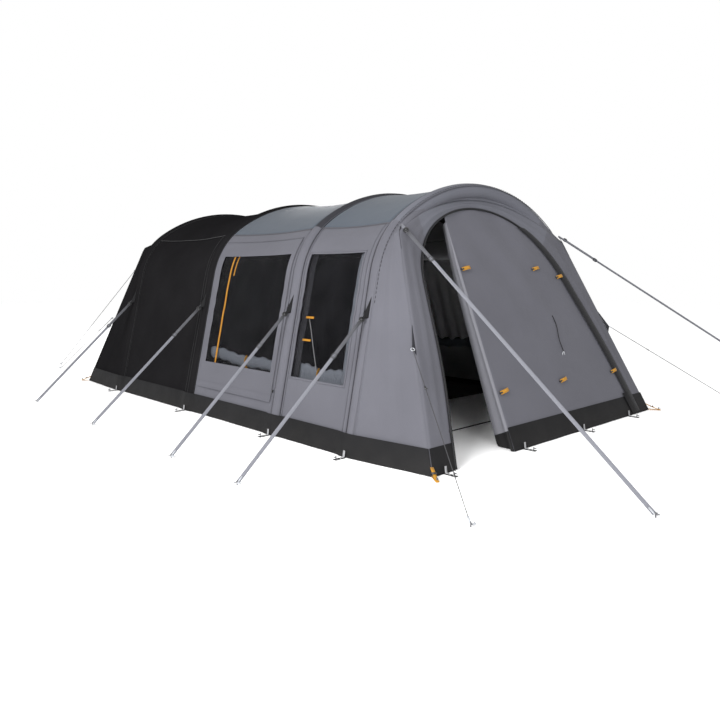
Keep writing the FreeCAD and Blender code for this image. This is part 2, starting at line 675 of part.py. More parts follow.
def build():
    """Every node's shape by name."""
    nodes = {}
    for i, y in enumerate(BEAM_Y):
        nodes[f"air_beam_{i + 1}"] = air_beam(y)
        nodes[f"beam_sleeve_{i + 1}"] = beam_sleeve(y)
    nodes["link_tubes"] = link_tubes()
    nodes["valve_body"] = valve_body()
    nodes["valve_cap"] = valve_cap()

    for bay, name in enumerate(("front", "middle", "rear")):
        nodes[f"roof_{name}"] = roof(bay)
    nodes["wall_left_front"] = side_wall(-1, 0, FRONT_WINDOW)
    nodes["wall_left_middle"] = side_wall(-1, 1, SIDE_DOOR)
    nodes["wall_left_rear"] = side_wall(-1, 2)
    nodes["wall_right_front"] = side_wall(1, 0, FRONT_WINDOW)
    nodes["wall_right_middle"] = side_wall(1, 1, MIDDLE_WINDOW)
    nodes["wall_right_rear"] = side_wall(1, 2)
    nodes["window_left_front"] = pane(-1, 0, FRONT_WINDOW)
    nodes["windows_right"] = Part.makeCompound([pane(1, 0, FRONT_WINDOW), pane(1, 1, MIDDLE_WINDOW)])
    nodes["side_door"] = side_door()
    nodes["window_side_door"] = pane(-1, 1, MIDDLE_WINDOW)

    nodes["front_gores"] = gores(FRONT_HALF, FRONT_SLOPE, FRONT_Y, -1, BEAM_Y[0])
    nodes["rear_gores"] = gores(REAR_HALF, REAR_SLOPE, REAR_Y, 1, BEAM_Y[3])
    nodes["hoods"] = hoods()
    nodes["rear_panel"] = end_panel(end_outline(REAR_HALF, REAR_SLOPE, REAR_APEX), REAR_SLOPE, REAR_Y, 1)
    nodes["front_frame"] = front_frame()
    nodes["front_panel"] = front_panel()
    nodes["front_door"] = front_door()
    nodes["front_door_flap"] = front_door_flap()

    fold = (DOOR_FOLD_X - SKIRT_FOLD_GAP, DOOR_FOLD_X + SKIRT_FOLD_GAP)
    nodes["door_skirt"] = front_skirt(DOOR_FREE_X[0] + DOOR_GAP, fold[0])
    post = DOOR_ARCH.half_width
    nodes["mud_skirt_front"] = Part.makeCompound([front_skirt(-FAR, -post), front_skirt(fold[1], FAR)])
    nodes["mud_skirt_left"] = side_skirt(-1)
    nodes["mud_skirt_right"] = side_skirt(1)
    nodes["mud_skirt_rear"] = rear_skirt()

    nodes["groundsheet"] = groundsheet()
    nodes["inner_tent_front"] = inner_tent_front()
    nodes["inner_tent_body"] = inner_tent_body()
    nodes["ground_strap"] = ground_strap()

    for side, name in ((-1, "left"), (1, "right")):
        routes = [(side_anchor(side, beam), side_peg(side, beam)) for beam in range(4)]
        nodes[f"storm_straps_{name}"] = Part.makeCompound([flat_strap(*route) for route in routes])
        for beam, route in enumerate(routes):
            nodes[f"strap_slider_{name}_{beam + 1}"] = runner(*route, RUNNER_FROM_ANCHOR)
    front_routes = [(mirrored(FRONT_ANCHOR, side), foot) for side, foot in zip((-1, 1), FRONT_PEGS)]
    nodes["front_storm_straps"] = Part.makeCompound([flat_strap(*route) for route in front_routes])
    for name, route in zip(("left", "right"), front_routes):
        nodes[f"front_strap_slider_{name}"] = runner(*route, FRONT_RUNNER_FROM_ANCHOR)
    nodes["guy_lines"] = Part.makeCompound([round_guy(*route) for route in guy_routes()])
    nodes["guy_runners"] = Part.makeCompound([
        runner(*route, GUY_RUNNER_FROM_ANCHOR, GUY_RUNNER, GUY_RUNNER_SLOT) for route in guy_routes()
    ])
    nodes["peg_loops"] = Part.makeCompound([ladder_loop(place, out) for place, out in foot_places()])
    nodes["pegs"] = all_pegs()
    nodes["side_zip_slider"] = side_zip_slider()
    nodes["front_zip_slider"] = front_zip_slider()
    return nodes


os.makedirs("parts", exist_ok=True)
for name, shape in build().items():
    litres = shape.Volume / 1e6
    print(f"{name:24s} solids {len(shape.Solids):2d} valid {shape.isValid()} {litres:9.3f} litres")
    print("    ", shape.BoundBox)
    shape.exportStep(f"parts/{name}.step")
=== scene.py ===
"""The visible tent: cloth, windows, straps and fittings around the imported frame, in metres."""
from math import asin, atan, atan2, copysign, cos, dist, exp, hypot, pi, radians, sin, sqrt, tan

import bpy
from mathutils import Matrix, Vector, noise


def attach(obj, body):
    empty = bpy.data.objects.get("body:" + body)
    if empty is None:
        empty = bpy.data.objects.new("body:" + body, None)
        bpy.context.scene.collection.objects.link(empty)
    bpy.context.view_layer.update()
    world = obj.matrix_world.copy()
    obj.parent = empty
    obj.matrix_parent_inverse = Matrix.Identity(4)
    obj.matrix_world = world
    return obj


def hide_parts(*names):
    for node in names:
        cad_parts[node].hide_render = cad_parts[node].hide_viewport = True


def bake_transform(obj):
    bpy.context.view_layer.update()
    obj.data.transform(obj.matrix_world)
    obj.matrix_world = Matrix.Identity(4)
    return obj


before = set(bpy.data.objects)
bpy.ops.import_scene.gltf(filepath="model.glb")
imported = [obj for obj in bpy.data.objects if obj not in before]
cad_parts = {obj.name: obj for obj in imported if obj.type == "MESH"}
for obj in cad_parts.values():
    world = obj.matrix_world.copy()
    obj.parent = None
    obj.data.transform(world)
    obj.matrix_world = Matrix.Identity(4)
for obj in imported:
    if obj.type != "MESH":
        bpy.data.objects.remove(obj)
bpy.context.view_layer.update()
ROOT = "tent"
SIDES = {-1: "left", 1: "right"}
UP = Vector((0, 0, 1))


def vec(*numbers):
    return Vector(numbers)


def soft_noise(*numbers):
    """Smooth noise at three numbers."""
    return noise.noise(Vector(numbers))


# Driving dimensions, the same as the design's.
HALF_WIDTH, HEIGHT = 1.715, 2.1
WALL_LEAN, WALL_TOP, SHOULDER_R = radians(15.28), 1.328, 0.821
BEAM_Y = (-2.085, -1.145, 0.265, 1.845)
BEAM_TILT = atan(0.07)
SLEEVE_R = 0.062
FRONT_Y, FRONT_SLOPE, FRONT_HALF = -2.835, 0.45, 1.618
REAR_Y, REAR_SLOPE, REAR_HALF = 2.785, 0.42, 1.673
SHOULDER_X, SHOULDER_Z = 1.19, 1.63
FRONT_APEX, REAR_APEX = 1.95, 1.905
PULLED_SHOULDER_X = 1.135  # the front right corner seam, drawn in by its strap
FRONT_STRETCH = sqrt(1 + FRONT_SLOPE ** 2)
REAR_STRETCH = sqrt(1 + REAR_SLOPE ** 2)
EAVE_S, SKIRT_TOP = 1.722, 0.17
SIDE_DOOR = (-1.05, 0.17, 0.258, 1.642)
WINDOW_MIDDLE = (-0.985, 0.085, 0.49, 1.5)
WINDOW_FRONT = (-1.925, -1.275, 0.49, 1.49)
SKIN_DEPTH = 0.019
EDGE = 0.05  # cloth meets the sleeve this far from the beam's centre plane


class Arch:
    """An outline of wall line, shoulder arc and roof arc, walked by arc length from the ground."""

    def __init__(self, half, lean, wall_top, r1, height):
        foot_x = half - wall_top * tan(lean)
        self.half, self.lean, self.r1 = half, lean, r1
        self.c1 = (foot_x - r1 * cos(lean), wall_top - r1 * sin(lean))
        rise = height - self.c1[1]
        self.r2 = (self.c1[0] ** 2 + rise ** 2 - r1 ** 2) / (2 * (rise - r1))
        self.c2 = height - self.r2
        self.turn = atan2(self.c1[1] - self.c2, self.c1[0])
        self.wall = wall_top / cos(lean)
        self.shoulder = self.wall + r1 * (self.turn - lean)
        self.length = self.shoulder + self.r2 * (pi / 2 - self.turn)

    def at(self, a, d=0.0):
        """The point (x, s) at signed arc length a (left is negative) and depth d, and its normal."""
        side, a = (-1 if a < 0 else 1), abs(a)
        if a <= self.wall:
            nx, nz = cos(self.lean), sin(self.lean)
            x, z = self.half - a * nz, a * nx
        elif a <= self.shoulder:
            t = self.lean + (a - self.wall) / self.r1
            nx, nz = cos(t), sin(t)
            x, z = self.c1[0] + self.r1 * nx, self.c1[1] + self.r1 * nz
        else:
            t = self.turn + (a - self.shoulder) / self.r2
            nx, nz = cos(t), sin(t)
            x, z = self.r2 * nx, self.c2 + self.r2 * nz
        return side * (x - nx * d), z - nz * d, side * nx, nz

    def a_at(self, s, d=0.0):
        """Arc length where the line at depth d has height s."""
        low, high = 0.0, self.length
        for _ in range(40):
            mid = (low + high) / 2
            low, high = (mid, high) if self.at(mid, d)[1] < s else (low, mid)
        return (low + high) / 2


TENT = Arch(HALF_WIDTH, WALL_LEAN, WALL_TOP, SHOULDER_R, HEIGHT)
DOORWAY = Arch(1.385, radians(15.35), 1.371, 0.86, 2.051)
EAVE = TENT.a_at(EAVE_S, SKIN_DEPTH)


def on_plane(x, s, foot_y, angle=BEAM_TILT):
    """A point of a leaning plane, from x and the height s along it."""
    return vec(x, foot_y + s * sin(angle), s * cos(angle))


def front_at(x, s, out=0.0):
    """A point of the sloping front; out moves it outwards, square to the plane."""
    angle = atan(FRONT_SLOPE)
    return on_plane(x, s, FRONT_Y, angle) + vec(0, -cos(angle), sin(angle)) * out


def above(p, low):
    """The point, lifted to at least a height off the ground."""
    return vec(p.x, p.y, max(p.z, low))


def rear_at(x, s, out=0.0):
    angle = atan(REAR_SLOPE)
    point = on_plane(x, s, 0, -angle) + vec(0, REAR_Y, 0)
    return point + vec(0, cos(angle), sin(angle)) * out


# ---------------------------------------------------------------- materials

def fill(tree, node, values):
    """Sets a node's inputs: a socket is linked, and anything else is the input's own value."""
    for key, value in values.items():
        if isinstance(value, bpy.types.NodeSocket):
            tree.links.new(value, node.inputs[key])
        else:
            node.inputs[key].default_value = value


def add_node(tree, kind, values, **settings):
    node = tree.nodes.new("ShaderNode" + kind)
    for key, value in settings.items():
        setattr(node, key, value)
    fill(tree, node, values)
    return node


def new_material(name, values):
    """A material with constants on its shader; gives it, its tree, its shader and two coordinates."""
    mat = bpy.data.materials.new(name)
    mat.use_nodes = True
    tree = mat.node_tree
    shader = tree.nodes["Principled BSDF"]
    fill(tree, shader, values)
    coord = add_node(tree, "TexCoord", {}).outputs
    return mat, tree, shader, coord["Object"], coord["UV"]


def scaled(colour, k):
    return [min(1, c * k) for c in colour]


def mottle(tree, place, scale, detail, stretch=None):
    if stretch:
        place = add_node(tree, "Mapping", {"Vector": place, "Scale": stretch}).outputs["Vector"]
    return add_node(tree, "TexNoise", {"Vector": place, "Scale": scale, "Detail": detail}).outputs["Fac"]


def ramp(tree, fac, low, high, start=0.3, end=0.7):
    node = add_node(tree, "ValToRGB", {"Fac": fac})
    for stop, position, colour in zip(node.color_ramp.elements, (start, end), (low, high)):
        stop.position, stop.color = position, (*colour, 1)
    return node.outputs["Color"]


def finished(mat, tree, shader, tint, layers):
    """Gives a shader its colour and its bump layers, each (height socket, strength, distance)."""
    last = {}
    for height, strength, distance in layers:
        bump = add_node(tree, "Bump", {"Height": height, "Strength": strength, "Distance": distance, **last})
        last = {"Normal": bump.outputs["Normal"]}
    fill(tree, shader, {"Base Color": tint, **last})
    return mat


def weave(tree, thread, pitch):
    """Crossed threads along the cloth's own two directions."""
    waves = {k: add_node(tree, "TexWave", {"Scale": 0.314 / pitch, "Vector": thread}, bands_direction=axis)
             for k, axis in enumerate("XY")}
    return add_node(tree, "Math", {k: wave.outputs["Fac"] for k, wave in waves.items()},
                    operation="MULTIPLY").outputs[0]


DUST_TOP, DUST_COLOUR = 0.22, (0.23, 0.21, 0.18, 1)


def cloth(name, colour, rough=0.75, spread=0.05, crinkle=0.35, pitch=0.0022, sheen=0.05, dust=0.0, shine=0.15):
    """Coated woven cloth: thread bump, soft creases, mottled colour and a little grime low down."""
    mat, tree, shader, place, thread = new_material(name, {
        "Roughness": rough, "Sheen Weight": sheen, "Sheen Roughness": 0.5, "Specular IOR Level": shine})
    tint = ramp(tree, mottle(tree, place, 2.3, 3.0), scaled(colour, 1 - spread), scaled(colour, 1 + spread))
    if dust:
        height = add_node(tree, "SeparateXYZ", {"Vector": place}).outputs["Z"]
        fade = add_node(tree, "MapRange", {"Value": height, "From Min": 0.0, "From Max": DUST_TOP,
                                           "To Min": dust, "To Max": 0.0})
        share = add_node(tree, "Math", {0: fade.outputs["Result"], 1: mottle(tree, place, 9.0, 6.0)},
                         operation="MULTIPLY")
        tint = add_node(tree, "Mix", {"Factor": share.outputs[0], "A": tint, "B": DUST_COLOUR},
                        data_type="RGBA").outputs["Result"]
    return finished(mat, tree, shader, tint, [
        (weave(tree, thread, pitch), 0.25, 0.0004),
        (mottle(tree, place, 11.0, 5.0), crinkle, 0.006),
        (mottle(tree, place, 2.2, 2.0, (1.0, 0.6, 0.35)), crinkle, 0.03),
    ])


def webbing_material(name, colour, pitch=0.004):
    mat, tree, shader, _, thread = new_material(name, {
        "Roughness": 0.6, "Sheen Weight": 0.04, "Specular IOR Level": 0.15})
    rib = weave(tree, thread, pitch)
    return finished(mat, tree, shader, ramp(tree, rib, scaled(colour, 0.72), colour, 0.1, 0.8), [(rib, 0.6, 0.001)])


def plastic(name, colour, rough=0.4):
    mat, tree, shader, place, _ = new_material(name, {"Roughness": rough})
    grain = mottle(tree, place, 260.0, 2.0)
    tint = ramp(tree, grain, scaled(colour, 0.85), scaled(colour, 1.2))
    return finished(mat, tree, shader, tint, [(grain, 0.15, 0.0004)])


def metal(name, colour, rough=0.35):
    mat, tree, shader, place, _ = new_material(name, {"Metallic": 1.0, "Roughness": rough})
    scratch = mottle(tree, place, 90.0, 4.0, (1, 1, 8))
    return finished(mat, tree, shader, ramp(tree, scratch, scaled(colour, 0.8), colour), [(scratch, 0.1, 0.0005)])


def film(name):
    """Tinted clear window film with soft crinkles."""
    mat, tree, shader, place, _ = new_material(name, {
        "Roughness": 0.2, "IOR": 1.45, "Specular IOR Level": 0.1, "Alpha": 0.4})
    tint = ramp(tree, mottle(tree, place, 5.0, 3.0), (0.004, 0.004, 0.005), (0.012, 0.012, 0.014))
    return finished(mat, tree, shader, tint, [(mottle(tree, place, 2.4, 1.0, (1, 1, 0.5)), 0.35, 0.02)])


WALL = cloth("wall_cloth", (0.076, 0.076, 0.0885), 0.7, sheen=0.02, dust=0.04, shine=0.1)
HOOD = cloth("hood_cloth", (0.088, 0.09, 0.106), 0.6, sheen=0.02, shine=0.1)
ROOF = cloth("roof_cloth", (0.052, 0.062, 0.077), 0.5, 0.04, 0.3, sheen=0.02, shine=0.1)
BAND = cloth("band_cloth", (0.04, 0.042, 0.05), 0.65, sheen=0.0, shine=0.05)
TRIM = cloth("trim_cloth", (0.026, 0.026, 0.03), 0.7, sheen=0.0, shine=0.03)
DARK = cloth("dark_cloth", (0.0085, 0.0082, 0.0088), 0.7, 0.12, 0.35, sheen=0.0, shine=0.0)
DOOR = cloth("door_cloth", (0.08, 0.08, 0.094), 0.62, 0.04, 0.3, sheen=0.02, shine=0.1)
SKIRT = cloth("skirt_cloth", (0.0075, 0.0075, 0.0083), 0.65, 0.15, 0.5, sheen=0.0, dust=0.04, shine=0.08)
FLOOR_CLOTH = cloth("groundsheet_cloth", (0.006, 0.006, 0.0065), 0.5, 0.2, 0.6, 0.003, sheen=0.0)
INNER = cloth("inner_cloth", (0.012, 0.012, 0.013), 0.85, 0.1, 0.4, sheen=0.0)
CURTAIN = cloth("curtain_cloth", (0.14, 0.152, 0.178), 0.8, 0.06, 0.4, sheen=0.0)
# Light grey curtain cloth, painted far lighter than the rolled curtains: partly its own colour, partly painted light
# from the window behind it.
CURTAIN_PAINTED_LIGHT = cloth("curtain_cloth_painted_light", (0.6, 0.6, 0.62), 0.8, 0.05, 0.4)
MESH = cloth("fly_mesh", (0.0016, 0.0016, 0.0018), 0.9, 0.2, 0.3, sheen=0.0, shine=0.0)
LINING = cloth("lining_cloth", (0.2, 0.2, 0.21), 0.85, 0.1, 0.3, sheen=0.0)
RETURN = cloth("door_return_cloth", (0.12, 0.12, 0.135), 0.6, 0.04, 0.3, sheen=0.02)
PIPING = cloth("piping_cloth", (0.009, 0.009, 0.01), 0.55, 0.1, 0.2, sheen=0.0)
SEAM = cloth("seam_tape", (0.058, 0.058, 0.068), 0.6, 0.1, 0.2, sheen=0.0)
WEB = webbing_material("strap_webbing", (0.16, 0.163, 0.185))
TAILWEB = webbing_material("strap_tail_webbing", (0.075, 0.076, 0.085), 0.011)
LOOPWEB = webbing_material("loop_webbing", (0.008, 0.008, 0.009))
PALEWEB = webbing_material("tab_webbing", (0.3, 0.3, 0.31))
AMBER = webbing_material("amber_webbing", (0.42, 0.2, 0.018))
# Amber webbing behind the panes, painted over twice as light as the outer amber: painted light for the light that
# reaches it through the windows.
AMBER_PAINTED_LIGHT = webbing_material("amber_webbing_painted_light", (0.95, 0.42, 0.03))
CORD = webbing_material("guy_cord", (0.04, 0.04, 0.043), 0.006)
BUCKLE = plastic("buckle_plastic", (0.01, 0.01, 0.011))
CLIP = plastic("pale_plastic", (0.3, 0.31, 0.33))
VALVE = plastic("valve_plastic", (0.02, 0.02, 0.022))
TUBE = plastic("tube_plastic", (0.07, 0.07, 0.075))
STEEL = metal("peg_steel", (0.16, 0.16, 0.17))
FILM = film("window_film")

# ---------------------------------------------------------------- mesh helpers


def add(name, verts, faces, mats, uvs, index=None):
    mesh = bpy.data.meshes.new(name)
    mesh.from_pydata([tuple(v) for v in verts], [], faces)
    for mat in mats if isinstance(mats, (list, tuple)) else [mats]:
        mesh.materials.append(mat)
    layer = mesh.uv_layers.new(name="UVMap")
    for loop in mesh.loops:
        layer.data[loop.index].uv = uvs[loop.vertex_index]
    for i, poly in enumerate(mesh.polygons):
        poly.use_smooth = True
        if index:
            poly.material_index = index[i]
    obj = bpy.data.objects.new(name, mesh)
    bpy.context.scene.collection.objects.link(obj)
    return obj


def grid(name, rows, mats, keep=None, pick=None):
    """A cloth sheet through rows of points; keep(i, j) drops cells and pick(i, j) gives a cell's material."""
    verts = [Vector(p) for row in rows for p in row]
    n = len(rows[0])
    uvs, down = [], [0.0] * n
    for i, row in enumerate(rows):
        along = 0.0
        for j, p in enumerate(row):
            if j:
                along += (Vector(p) - Vector(row[j - 1])).length
            if i:
                down[j] += (Vector(p) - Vector(rows[i - 1][j])).length
            uvs.append((along, down[j]))
    faces, index = [], []
    for i in range(len(rows) - 1):
        for j in range(n - 1):
            if keep is None or keep(i, j):
                a = i * n + j
                faces.append((a, a + 1, a + n + 1, a + n))
                index.append(pick(i, j) if pick else 0)
    used = sorted({v for f in faces for v in f})
    new = {v: k for k, v in enumerate(used)}
    return add(name, [verts[v] for v in used], [tuple(new[v] for v in f) for f in faces], mats,
               [uvs[v] for v in used], index if pick else None)


def surface(name, down, across, point, mats, pick=None):
    """A sheet of down by across cells through point(i, j)."""
    return grid(name, [[point(i, j) for j in range(across + 1)] for i in range(down + 1)], mats, None, pick)


def walk(count, point):
    """The points of a line, from point(0) to point(1)."""
    return [point(k / count) for k in range(count + 1)]


def loop(centre, a, b, count):
    """A closed line round an ellipse with half axes a and b."""
    return walk(count, lambda u: centre + a * cos(2 * pi * u) + b * sin(2 * pi * u))


def steps(breaks, size):
    """Values from the first to the last break that hit every break, about size apart."""
    values = []
    for a, b in zip(breaks, breaks[1:]):
        n = max(1, round((b - a) / size))
        values += [a + (b - a) * k / n for k in range(n)]
    return values + [breaks[-1]]


def ease(t):
    t = max(0.0, min(1.0, t))
    return t * t * (3 - 2 * t)


def placed(obj, body=ROOT, nodes=()):
    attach(obj, body)
    if nodes:
        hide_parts(*nodes)
    return obj


def sheet(obj):
    """Gives a piece of cloth back as it is."""
    return obj


def solidify(obj, thickness, offset=0.0):
    mod = obj.modifiers.new("cloth", "SOLIDIFY")
    mod.thickness, mod.offset = thickness, offset
    return mod


def frames_along(points, up=None):
    """Each point of a line with its side and up directions, without twist."""
    result, last = [], up or UP
    for i, p in enumerate(points):
        ahead = (points[min(i + 1, len(points) - 1)] - points[max(i - 1, 0)]).normalized()
        side = ahead.cross(last)
        side = side.normalized() if side.length > 1e-6 else ahead.orthogonal().normalized()
        last = side.cross(ahead).normalized()
        result.append((p, side, last))
    return result


def swept(name, points, section, mats, up=None, scale=None):
    """A closed section of (side, up) pairs swept along points."""
    points = [Vector(p) for p in points]
    n = len(section)
    verts, uvs, run, around = [], [], 0.0, [0.0]
    for k in range(1, n):
        around.append(around[-1] + dist(section[k], section[k - 1]))
    for i, (p, side, high) in enumerate(frames_along(points, up)):
        run += (points[i] - points[i - 1]).length if i else 0.0
        size = scale(i) if scale else 1.0
        for k, (x, y) in enumerate(section):
            verts.append(p + side * x * size + high * y * size)
            uvs.append((around[k], run))
    faces = [(i * n + k, i * n + (k + 1) % n, i * n + (k + 1) % n + n, i * n + k + n)
             for i in range(len(points) - 1) for k in range(n)]
    faces += [tuple(reversed(range(n))), tuple(range(len(verts) - n, len(verts)))]
    return add(name, verts, faces, mats, uvs)


def trim(name, points, section, mat, up=None, body=ROOT):
    """A swept piece that rides on a body."""
    return placed(swept(name, points, section, mat, up), body)


def circle(radius, n=10):
    return [(radius * cos(2 * pi * k / n), radius * sin(2 * pi * k / n)) for k in range(n)]


def flat(width, thick):
    """A webbing section with rounded selvedges."""
    w, t = width / 2, thick / 2
    return [(-w, 0), (-w * 0.93, -t), (w * 0.93, -t), (w, 0), (w * 0.93, t), (-w * 0.93, t)]


def joined(name, objs):
    """Joins loose parts into one piece."""
    with bpy.context.temp_override(active_object=objs[0], object=objs[0], selected_objects=objs,
                                   selected_editable_objects=objs):
        bpy.ops.object.join()
    objs[0].name = name
    return objs[0]


def lined(obj, thickness=0.0015):
    """Turns outer cloth's face outwards and gives it its thickness and its dark inner face."""
    middle = UP * 0.7
    if sum(p.normal.dot(p.center - middle) * p.area for p in obj.data.polygons) < 0:
        obj.data.flip_normals()
    obj.data.materials.append(LINING)
    last = len(obj.data.materials) - 1
    mod = solidify(obj, thickness, -1.0)
    mod.material_offset, mod.material_offset_rim = last, 0
    return obj


# ---------------------------------------------------------------- outer cloth

ANCHOR_S = 1.035
CELL = 0.03  # spacing of the cloth's points


def tension(bay, y_from_front, a):
    """Small folds that run from the strap anchors and along the seams, in metres of depth."""
    width = BEAM_Y[bay + 1] - BEAM_Y[bay]
    depth = 0.0
    for edge in (0.0, width):
        off = abs(y_from_front - edge)
        rise = abs(a) - TENT.a_at(ANCHOR_S)
        angle = atan2(rise, off + 0.02)
        reach = hypot(off, rise)
        fade = exp(-reach / 0.35)
        depth += 0.0042 * fade * sin(angle * 9.0 + bay)
    depth += 0.0022 * sin(abs(a) * 23 + 2.2 * soft_noise(y_from_front * 2, a, bay)) * exp(
        -min(y_from_front, width - y_from_front) / 0.07)
    return depth


def skin(bay, y, a, lift=0.0):
    """A point of the outer cloth: y is measured on the ground, a is signed arc length."""
    y0, y1 = BEAM_Y[bay] + EDGE, BEAM_Y[bay + 1] - EDGE
    u = (y - y0) / (y1 - y0)
    hollow = 4 * u * (1 - u)
    high = ease((abs(a) - 1.2) / 0.9)
    sag = (0.006 + 0.026 * high) * (y1 - y0) / 1.3 * hollow
    rough = 0.005 * soft_noise(a * 1.7, y * 1.9, bay * 5.0) * hollow
    tuck = 0.018 * (1 - ease(min(y - y0, y1 - y) / 0.03))
    pull = tension(bay, y - BEAM_Y[bay], a) * min(1, hollow * 3)
    x, s, _, _ = TENT.at(a, SKIN_DEPTH + sag + rough + tuck + pull - lift)
    return on_plane(x, s, y)


def pierced(name, bay, side, ys, avals, mats, hole):
    """Outer cloth over a grid of ground distances and arc lengths, without the cells inside the hole."""
    def keep(i, j):
        y, a = (ys[j] + ys[j + 1]) / 2, (avals[i] + avals[i + 1]) / 2
        return not (hole and hole[0] < y < hole[1] and hole[2] < a < hole[3])

    return grid(name, [[skin(bay, y, side * a) for y in ys] for a in avals], mats, keep)


def shell_piece(name, bay, side, a_breaks, mats, hole=None):
    """A grid of one wall's outer cloth, with its edges on a_breaks; hole is (y0, y1, a0, a1)."""
    edges = [BEAM_Y[bay] + EDGE, BEAM_Y[bay + 1] - EDGE]
    return pierced(name, bay, side, steps(sorted(edges + list(hole[:2] if hole else ())), CELL),
                   steps(sorted(a_breaks), CELL), mats, hole)


def opening_arc(opening):
    """An opening's (y0, y1, z0, z1) as (y0, y1, a0, a1)."""
    return opening[0], opening[1], TENT.a_at(opening[2], SKIN_DEPTH), TENT.a_at(opening[3], SKIN_DEPTH)


def cloth_path(points, size):
    """(y, arc) points about size apart along a broken line on the cloth, without its last point."""
    path = []
    for (ya, aa), (yb, ab) in zip(points, points[1:]):
        n = max(2, int(hypot(yb - ya, ab - aa) / size))
        path += [(ya + (yb - ya) * k / n, aa + (ab - aa) * k / n) for k in range(n)]
    return path


def binding(name, bay, side, opening, width=0.018, proud=0.0025):
    """A stitched tape around an opening in the outer cloth."""
    y0, y1, a0, a1 = opening_arc(opening)
    path = cloth_path([(y0, a0), (y1, a0), (y1, a1), (y0, a1), (y0, a0)], 0.04)
    n, cy, ca = len(path), (y0 + y1) / 2, (a0 + a1) / 2
    grow_y, grow_a = 1 + 2 * width / (y1 - y0), 1 + 2 * width / (a1 - a0)
    inner = [skin(bay, y, side * a, proud) for y, a in path]
    outer = [skin(bay, cy + (y - cy) * grow_y, side * (ca + (a - ca) * grow_a), proud) for y, a in path]
    faces = [(k, (k + 1) % n, (k + 1) % n + n, k + n) for k in range(n)]
    obj = add(name, inner + outer, faces, WALL, [(x, 0.02 * k) for x in (0.0, 0.02) for k in range(n)])
    solidify(obj, 0.0012)
    return placed(obj)


def roof_sheet(bay, name, mat):
    """The roof cloth from eave to eave."""
    length = TENT.length
    ys = steps([BEAM_Y[bay] + EDGE, BEAM_Y[bay + 1] - EDGE], CELL)
    right = steps([EAVE, length], CELL)
    avals = [-a for a in right] + list(reversed(right))[1:]
    obj = lined(grid(f"roof_sheet_{name}", [[skin(bay, y, a) for y in ys] for a in avals], mat))
    placed(obj, ROOT, [f"roof_{name}"])
    return sheet(obj)


def wall_sheet(side, bay, name, mat, opening=None):
    name = f"{SIDES[side]}_{name}"
    area = opening_arc(opening) if opening else None
    a_breaks = [0.006, TENT.a_at(SKIRT_TOP), EAVE] + (list(area[2:]) if area else [])
    obj = lined(shell_piece(f"wall_sheet_{name}", bay, side, a_breaks, mat, area))
    placed(obj, ROOT, [f"wall_{name}"])
    return sheet(obj)


def window_film(side, bay, opening, name, body, node):
    """A pane that overlaps the opening's edge by a hem, behind the wall cloth."""
    y0, y1, a0, a1 = opening_arc(opening)
    hem = 0.012
    ys, avals = steps([y0 - hem, y1 + hem], 0.04), steps([a0 - hem, a1 + hem], 0.04)
    rows = [[skin(bay, y, side * a, -0.004 - 0.004 * soft_noise(y * 5, a * 5, 3)) for y in ys]
            for a in avals]
    obj = grid(name, rows, FILM)
    placed(obj, body, [node])
    return sheet(obj)


roof_sheet(0, "front", ROOF)
roof_sheet(1, "middle", ROOF)
roof_sheet(2, "rear", DARK)
for side, middle in ((-1, SIDE_DOOR), (1, WINDOW_MIDDLE)):
    wall_sheet(side, 0, "front", WALL, WINDOW_FRONT)
    wall_sheet(side, 1, "middle", WALL, middle)
    wall_sheet(side, 2, "rear", DARK)
window_film(-1, 0, WINDOW_FRONT, "film_left_front", ROOT, "window_left_front")
window_film(-1, 1, WINDOW_MIDDLE, "film_side_door", "side_door", "window_side_door")
window_film(1, 0, WINDOW_FRONT, "film_right_front", ROOT, "windows_right")
window_film(1, 1, WINDOW_MIDDLE, "film_right_middle", ROOT, "windows_right")


def side_door():
    door, pane = opening_arc(SIDE_DOOR), opening_arc(WINDOW_MIDDLE)
    gap = 0.002
    ys = steps([door[0] + gap, pane[0], pane[1], door[1] - gap], CELL)
    avals = steps([door[2] + gap, pane[2], pane[3], door[3] - gap], CELL)
    obj = pierced("side_door_cloth", 1, -1, ys, avals, WALL, pane)
    placed(obj, "side_door", ["side_door"])
    sheet(obj)


side_door()

# ---------------------------------------------------------------- beams


def over_the_top(i, count):
    """The signed arc length of point i of a line from the left foot over the top to the right foot."""
    left = i <= count / 2
    arc = max(2 * TENT.length * (i if left else count - i) / count, 1e-5)
    return -arc if left else arc


